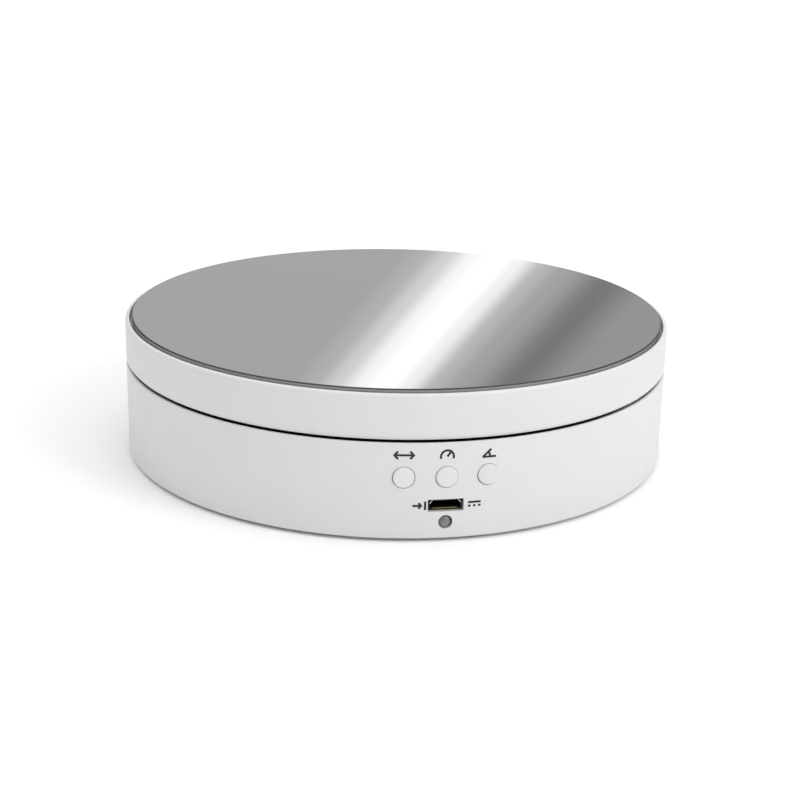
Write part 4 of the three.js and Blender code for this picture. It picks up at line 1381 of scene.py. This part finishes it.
class TURNTABLE_OT_buttons(bpy.types.Operator):
    """Build the three push buttons"""

    bl_idname = "turntable.buttons"
    bl_label = "Buttons"

    def execute(self, context):
        finish = moulded_button_abs(context.scene.turntable_panel.button)
        for side in BUTTONS:
            low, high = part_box("button_" + side)
            middle = middle_of("button_" + side)
            flange = (high.x - low.x) / 2
            radius = flange - 0.7 * MM
            corners = [
                (0, -high.y, 0),
                (flange, -high.y, 0.1 * MM),
                (flange, -high.y + 0.7 * MM, 0.1 * MM),
                (radius, -high.y + 0.7 * MM, 0.1 * MM),
                (radius, -low.y - 0.06 * MM, 0.45 * MM),
                (0.8 * MM, -low.y, 0),
                (0, -low.y, 0),
            ]
            cap = turned("button_cap_" + side, corners, finish, 96, on_axis=True)
            # the caps sit a little to the right in their holes, so the gap shows on the left
            place(cap, facing_front(middle.x + 0.07 * MM, middle.z))
            settle(cap, side + "_button", "button_abs", "button_" + side)
        return {"FINISHED"}


class TURNTABLE_OT_signs(bpy.types.Operator):
    """Print the plain signs on the panel: direction, speed, swing angle, power in and direct current"""

    bl_idname = "turntable.signs"
    bl_label = "Printed Signs"

    def execute(self, context):
        panel = context.scene.turntable_panel
        half = panel.sign_height / 2
        button_z = middle_of("button_middle").z + panel.sign_rise
        inlet_z = middle_of("usb_shell").z + 0.05 * MM
        pitch = DRUM_RADIUS * math.asin(middle_of("button_right").x / DRUM_RADIUS)
        strokes = []
        strokes += self.shifted(self.direction_sign(half), -pitch, button_z)
        strokes += self.shifted(self.speed_sign(half), 0.0, button_z)
        strokes += self.shifted(self.swing_sign(half), pitch, button_z)
        strokes += self.shifted(self.inlet_sign(half * 0.9), -6.0 * MM, inlet_z)
        strokes += self.shifted(self.direct_current_sign(half * 0.9), 6.5 * MM, inlet_z)
        ink = pad_print_ink()
        points = []
        edges = []
        for stroke in strokes:
            start = len(points)
            points += [(x, y, 0.0) for x, y in stroke]
            edges += [(start + i, start + i + 1) for i in range(len(stroke) - 1)]
        drawing = mesh_object("panel_signs", points, edges)
        values = {
            "Stroke Width": panel.stroke,
            "Ink Thickness": 0.04 * MM,
            "Drum Radius": DRUM_RADIUS,
            "Finish": ink,
        }
        signs = freeze(run_tree(drawing, tree_named("Pad print", print_tree), values))
        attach(signs, "base")
        return {"FINISHED"}

    def shifted(self, strokes, x, z):
        return [[(x + px, z + pz) for px, pz in stroke] for stroke in strokes]

    def line(self, start, end, pieces=6):
        a, b = Vector(start), Vector(end)
        return [tuple(a.lerp(b, i / pieces)) for i in range(pieces + 1)]

    def arc(self, centre, radius, first, last, pieces=24):
        angles = [math.radians(first + (last - first) * i / pieces) for i in range(pieces + 1)]
        return [(centre[0] + radius * math.cos(a), centre[1] + radius * math.sin(a)) for a in angles]

    def chevron(self, tip, direction, size):
        """An open arrow head whose tip is at tip, pointing along direction."""
        tip = Vector(tip)
        forward = Vector(direction).normalized()
        side = Vector((-forward.y, forward.x))
        left = tip - forward * size + side * size
        right = tip - forward * size - side * size
        return self.line(left, tip, 2) + self.line(tip, right, 2)[1:]

    def direction_sign(self, half):
        reach = half * 1.75
        return [
            self.line((-reach, 0), (reach, 0)),
            self.chevron((-reach, 0), (-1, 0), half * 0.7),
            self.chevron((reach, 0), (1, 0), half * 0.7),
        ]

    def speed_sign(self, half):
        centre = (0, -half * 0.35)
        radius = half * 1.15
        dial = self.arc(centre, radius, 200, -20)
        needle = self.line(centre, (radius * 0.55, radius * 0.45))
        return [dial, needle]

    def swing_sign(self, half):
        corner = (-half * 1.2, -half * 0.85)
        reach = half * 2.5
        slope = math.radians(42)
        ray = (corner[0] + reach * 0.85 * math.cos(slope), corner[1] + reach * 0.85 * math.sin(slope))
        return [
            self.line(corner, (corner[0] + reach, corner[1])),
            self.line(corner, ray),
            self.arc(corner, reach * 0.55, 0, 42, 10),
        ]

    def inlet_sign(self, half):
        return [
            self.line((-half * 1.3, 0), (half * 0.45, 0)),
            self.chevron((half * 0.45, 0), (1, 0), half * 0.6),
            self.line((half * 1.2, -half * 0.9), (half * 1.2, half * 0.9)),
        ]

    def direct_current_sign(self, half):
        reach = half * 1.3
        dash = reach * 2 / 5
        low = -half * 0.4
        starts = [-reach + 2 * i * dash for i in range(3)]
        dashes = [self.line((start, low), (start + dash, low), 2) for start in starts]
        return [self.line((-reach, half * 0.35), (reach, half * 0.35))] + dashes


class TURNTABLE_OT_inlet(bpy.types.Operator):
    """Build the micro-USB inlet: its folded shell, its tongue and the contacts"""

    bl_idname = "turntable.inlet"
    bl_label = "Power Inlet"

    def execute(self, context):
        self.make_shell()
        self.make_tongue()
        return {"FINISHED"}

    def make_shell(self):
        """The folded shell, set back a little: its sheet painted dark as painted shade for the mouth, with a
        lighter khaki front lip that is a painted lit copy of that sheet.
        """
        low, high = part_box("usb_shell")
        middle = middle_of("usb_shell")
        half_width = (high.x - low.x) / 2
        half_height = (high.z - low.z) / 2
        sheet = 0.25 * MM
        back, mouth = -high.y, -low.y - 0.15 * MM
        # painted shade: the shell's sheet is coloured near black for the shade in the mouth of the inlet
        nickel = plated_steel("shade_darkened_nickel_sheet", linear("3A3936"), 0.3, 0.42)
        # painted shade: the cavity walls, which the cutter below leaves inside the shell, are coloured black
        # for the shade deep in the mouth
        inside = moulded_plastic("painted_shade_inlet_wall", linear("121211"), 0.5, 0.65, 0.2 * MM)
        outer = prism("inlet_shell", self.outline(half_width, half_height, 0), back, mouth, nickel)
        cavity = self.outline(half_width, half_height, sheet)
        hollow = prism("inlet_hollow", cavity, back + MM, mouth + MM, inside)
        shell = place(cut(outer, [hollow]), facing_front(middle.x, middle.z))
        # painted light: the front lip is a lighter khaki copy of the sheet, which is painted dark elsewhere,
        # for the lit floor of the mouth
        flash = plated_steel("painted_lit_lip", linear("A39A62"), 0.3, 0.42)
        lip_size = (1.5 * half_width, 0.9 * MM, 0.16 * MM)
        lip_z = low.z + sheet + 0.08 * MM
        lip = rounded_box("front_lip", lip_size, (middle.x, -mouth + 0.5 * MM, lip_z), flash, 0.03 * MM)
        # painted highlight: bright strips at the two upper corners stand for glints on the folds of the sheet
        bright = plated_steel("painted_glint_edge", linear("E6E4DC"), 0.2, 0.3)
        corners = [self.corner_glint(middle, half_width, half_height, mouth, side, bright) for side in (-1, 1)]
        settle(merged("inlet_sheath", [shell, lip] + corners), "base", "socket_steel", "usb_shell")

    def corner_glint(self, middle, half_width, half_height, mouth, side, bright):
        """A painted highlight: a bright strip across an upper corner of the sheet, for the glint where it is
        folded.
        """
        strip = rounded_box("corner_glint", (1.05 * MM, 0.16 * MM, 0.14 * MM), (0, 0, 0), bright, 0.03 * MM)
        inset = 0.55 * MM
        x = middle.x + side * (half_width - inset)
        spot = (x, -mouth - 0.05 * MM, middle.z + half_height - inset)
        return place(strip, Matrix.Translation(spot) @ Matrix.Rotation(side * math.pi / 4, 4, "Y"))

    def make_tongue(self):
        """The black tongue, with five gold contacts under it whose tips show at its front edge."""
        black = moulded_plastic("glass_filled_nylon", linear("141415"), 0.45, 0.6, 0.2 * MM)
        gold = plated_steel("gold_flashed_contact", linear("C9A35A"), 0.18, 0.28)
        low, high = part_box("usb_tongue")
        core = rounded_box("inlet_core", high - low, middle_of("usb_tongue"), black, 0.08 * MM)
        size = (0.26 * MM, 3.2 * MM, 0.12 * MM)
        spot = (0, low.y + 1.5 * MM, low.z - 0.02 * MM)
        contact = rounded_box("contact", size, spot, gold, 0.03 * MM)
        tongue = merged("inlet_tongue", [core, in_row(contact, 5, 0.65 * MM, gold)])
        settle(tongue, "base", "black_plastic", "usb_tongue")

    def outline(self, half_width, half_height, inset):
        """The keyed mouth: a flat floor and two bevelled upper corners."""
        w = half_width - inset
        h = half_height - inset
        bevel = 0.95 * MM - 0.4 * inset
        corners = [(-w, -h, 0.2 * MM), (w, -h, 0.2 * MM), (w, h - bevel, 0.15 * MM)]
        corners += [(w - bevel, h, 0.15 * MM), (-w + bevel, h, 0.15 * MM), (-w, h - bevel, 0.15 * MM)]
        return [tuple(p) for p in rounded(corners, 3)]


class TURNTABLE_OT_indicator(bpy.types.Operator):
    """Build the domed indicator lens"""

    bl_idname = "turntable.indicator"
    bl_label = "Indicator Lens"

    def execute(self, context):
        low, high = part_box("status_led")
        middle = middle_of("status_led")
        epoxy = diffused_led_epoxy(context.scene.turntable_panel.lens)
        radius = 1.5 * MM
        flange = size_of("status_led").x / 2
        back = 63.4 * MM
        corners = [
            (0, back, 0),
            (flange, back, 0.15 * MM),
            (flange, back + 1 * MM, 0.1 * MM),
            (radius, back + 1 * MM, 0),
            (radius, -low.y, radius * 0.85),
            (0, -low.y, 0),
        ]
        lens = turned("lens_body", corners, epoxy, 64, steps=14, on_axis=True)
        # the lens leans against the lower left of its hole, so the gap shows at the upper right
        lean = 0.09 * MM
        place(lens, facing_front(middle.x - lean, middle.z - lean))
        tin = plated_steel("tinned_lead_wire", linear("C8CACB"), 0.25, 0.4)
        legs = []
        for side in (-1, 1):
            size = (0.5 * MM, back + 0.2 * MM + high.y, 0.5 * MM)
            spot = (side * 0.8 * MM, (high.y - back - 0.2 * MM) / 2, middle.z)
            legs.append(rounded_box("leg", size, spot, tin, 0.06 * MM))
        piece = merged("indicator", [lens] + legs)
        settle(piece, "base", "diffused_epoxy", "status_led")
        return {"FINISHED"}


# ---- Stage -------------------------------------------------------------------------------------


class TURNTABLE_OT_stage(bpy.types.Operator):
    """Set the camera, the soft light, the sky that the mirror shows, and the floor"""

    bl_idname = "turntable.stage"
    bl_label = "Stage"

    def execute(self, context):
        stage = context.scene.turntable_stage
        self.make_camera(stage)
        self.make_floor(stage)
        self.make_sky()
        self.make_lights()
        context.scene.view_settings.view_transform = "Standard"
        return {"FINISHED"}

    def make_camera(self, stage):
        data = bpy.data.cameras.new("camera")
        data.sensor_width = 36
        data.lens = stage.focal_length
        data.shift_x = 0.0060
        data.shift_y = -0.0346
        data.clip_start = 0.01
        camera = bpy.data.objects.new("camera", data)
        bpy.context.scene.collection.objects.link(camera)
        target = Vector((0, 0, (MIRROR_TOP + CAD_BOX[0][2]) / 2))
        flat = math.cos(stage.elevation)
        away = Vector(
            (flat * math.sin(stage.azimuth), -flat * math.cos(stage.azimuth), math.sin(stage.elevation))
        )
        look = (-away).to_track_quat("-Z", "Y").to_matrix().to_4x4()
        roll = Matrix.Rotation(stage.roll, 4, "Z")
        camera.matrix_world = Matrix.Translation(target + away * stage.distance) @ look @ roll
        bpy.context.scene.camera = camera

    def make_floor(self, stage):
        half = 12.0
        # a little below the feet, so that more of the dark gap under the base shows
        level = -0.3 * MM
        floor = mesh_object(
            "floor",
            [(-half, -half, level), (half, -half, level), (half, half, level), (-half, half, level)],
            faces=[(0, 1, 2, 3)],
        )
        material, tree, surface = start_material("seamless_paper", Roughness=0.9)
        surface.inputs["Base Color"].default_value = stage.floor
        surface.inputs["Specular IOR Level"].default_value = 0.0
        # the lamps don't reach the far end of the roll, so it glows a little to stay as white
        where = add_node(tree, "ShaderNodeTexCoord").outputs["Object"]
        distance = add_node(tree, "ShaderNodeVectorMath", {"operation": "LENGTH"}, {0: where})
        fade = {"Value": distance.outputs["Value"], "From Min": 0.4, "From Max": 1.5, "To Max": 0.3}
        far = add_node(tree, "ShaderNodeMapRange", inputs=fade)
        surface.inputs["Emission Color"].default_value = (1.0, 1.0, 1.0, 1.0)
        tree.links.new(far.outputs[0], surface.inputs["Emission Strength"])
        floor.data.materials.append(material)

    def make_sky(self):
        """Grey round the horizon with leaning strips of light, a bright ceiling, and a dimmer zenith."""
        world = bpy.data.worlds.new("studio")
        world.use_nodes = True
        tree = world.node_tree
        direction = add_node(tree, "ShaderNodeTexCoord").outputs["Generated"]
        parts = add_node(tree, SPLIT, inputs={0: direction}).outputs
        azimuth = add_node(tree, MATH, {"operation": "ARCTAN2"}, {0: parts["X"], 1: parts["Y"]})
        height = add_node(tree, MATH, {"operation": "ARCSINE"}, {0: parts["Z"]})
        horizon = self.strip_shade(tree, self.strip_offset(tree, azimuth, height))
        with_ceiling = self.blend_up(tree, height, (28, 50), horizon, 1.2)
        # the dimmer patch straight above keeps the mirror from blank white when seen from over it
        whole = self.blend_up(tree, height, (74, 88), with_ceiling, 0.3)
        tree.links.new(whole, tree.nodes["Background"].inputs["Color"])
        bpy.context.scene.world = world

    def strip_offset(self, tree, azimuth, height):
        """How far a direction lies to the side of the nearest leaning strip."""
        # the front strip stands a little to the right; the other seven, beside and behind the stand, are
        # an eighth of a turn apart, so that the mirror shows one from those sides too
        eighth = math.radians(45)
        front, others = math.radians(11.9), math.radians(3)
        front_reach = math.radians(27)
        from_front = add_node(tree, MATH, {"operation": "SUBTRACT"}, {0: azimuth, 1: front})
        distance = add_node(tree, MATH, {"operation": "ABSOLUTE"}, {0: from_front})
        is_front = add_node(tree, MATH, {"operation": "LESS_THAN"}, {0: distance, 1: front_reach})
        choice = {0: is_front, 1: front - others, 2: others}
        centre = add_node(tree, MATH, {"operation": "MULTIPLY_ADD"}, choice)
        # a strip leans: it drifts sideways as it climbs
        lean, middle = -0.87, math.radians(15.8)
        drift = add_node(tree, MATH, {"operation": "MULTIPLY_ADD"}, {0: height, 1: lean, 2: -lean * middle})
        upright = add_node(tree, MATH, {"operation": "SUBTRACT"}, {0: azimuth, 1: drift})
        aside = add_node(tree, MATH, {"operation": "SUBTRACT"}, {0: upright, 1: centre})
        return add_node(tree, MATH, {"operation": "WRAP"}, {0: aside, 1: eighth / 2, 2: -eighth / 2})

    def strip_shade(self, tree, offset):
        """The light across a strip: a bright ridge with a dark valley on its right."""
        shade = [
            (-15, 0.45),
            (-4.4, 0.455),
            (-3.4, 0.53),
            (-2.45, 0.76),
            (-1.5, 1.13),
            (-0.5, 1.35),
            (0.4, 1.07),
            (1.4, 0.57),
            (2.3, 0.44),
            (4.3, 0.225),
            (6.2, 0.36),
            (15, 0.45),
        ]
        span = math.radians(shade[-1][0] - shade[0][0])
        place_in_ramp = {0: offset, 1: 1 / span, 2: 0.5}
        share = add_node(tree, MATH, {"operation": "MULTIPLY_ADD"}, place_in_ramp)
        strip = add_node(tree, "ShaderNodeValToRGB", inputs={"Fac": share})
        strip.color_ramp.interpolation = "EASE"
        stops = strip.color_ramp.elements
        for i, (degrees, level) in enumerate(shade):
            spot = math.radians(degrees) / span + 0.5
            stop = stops[i] if i < 2 else stops.new(spot)
            stop.position = spot
            stop.color = grey(level)
        return strip.outputs[0]

    def blend_up(self, tree, height, between, lower, level):
        """Passes smoothly from a colour to a plain grey between two heights in degrees."""
        first, last = (math.radians(angle) for angle in between)
        rise = {"Value": height, "From Min": first, "From Max": last}
        share = add_node(tree, "ShaderNodeMapRange", {"interpolation_type": "SMOOTHSTEP"}, rise)
        mixed = {0: share, 6: lower, 7: grey(level)}
        return add_node(tree, "ShaderNodeMix", {"data_type": "RGBA"}, mixed).outputs[2]

    def make_lights(self):
        self.softbox("key", (0.53, -0.49, 0.55), 0.5, 2.2)
        self.softbox("top", (0.0, 0.1, 1.1), 0.9, 1.0)

    def softbox(self, name, spot, size, power):
        data = bpy.data.lights.new(name, "AREA")
        data.shape = "DISK"
        data.size = size
        data.energy = power
        light = bpy.data.objects.new(name, data)
        bpy.context.scene.collection.objects.link(light)
        aim = (Vector((0, 0, 0.02)) - Vector(spot)).to_track_quat("-Z", "Y").to_matrix().to_4x4()
        light.matrix_world = Matrix.Translation(spot) @ aim


# ---- Add-on ------------------------------------------------------------------------------------

OPERATORS = (
    TURNTABLE_OT_stage,
    TURNTABLE_OT_base,
    TURNTABLE_OT_platter,
    TURNTABLE_OT_mirror,
    TURNTABLE_OT_underside,
    TURNTABLE_OT_bearings,
    TURNTABLE_OT_gears,
    TURNTABLE_OT_motor,
    TURNTABLE_OT_board,
    TURNTABLE_OT_buttons,
    TURNTABLE_OT_signs,
    TURNTABLE_OT_inlet,
    TURNTABLE_OT_indicator,
)
SETTINGS = {
    "turntable_case": CaseSettings,
    "turntable_mirror": MirrorSettings,
    "turntable_panel": PanelSettings,
    "turntable_stage": StageSettings,
}


class TURNTABLE_PT_panel(bpy.types.Panel):
    """Lists the steps that build the stand."""

    bl_idname = "TURNTABLE_PT_panel"
    bl_label = "Turntable Display Stand"
    bl_space_type = "VIEW_3D"
    bl_region_type = "UI"
    bl_category = "Turntable"

    def draw(self, context):
        for name, group in SETTINGS.items():
            box = self.layout.box()
            for key in group.__annotations__:
                box.prop(getattr(context.scene, name), key)
        for operator in OPERATORS:
            self.layout.operator(operator.bl_idname)


CLASSES = tuple(SETTINGS.values()) + OPERATORS + (TURNTABLE_PT_panel,)


def register():
    for cls in CLASSES:
        bpy.utils.register_class(cls)
    for name, group in SETTINGS.items():
        setattr(bpy.types.Scene, name, PointerProperty(type=group))


def unregister():
    for name in SETTINGS:
        delattr(bpy.types.Scene, name)
    for cls in reversed(CLASSES):
        bpy.utils.unregister_class(cls)


def main():
    register()
    for operator in OPERATORS:
        family, action = operator.bl_idname.split(".")
        getattr(getattr(bpy.ops, family), action)()


if __name__ == "__main__":
    main()
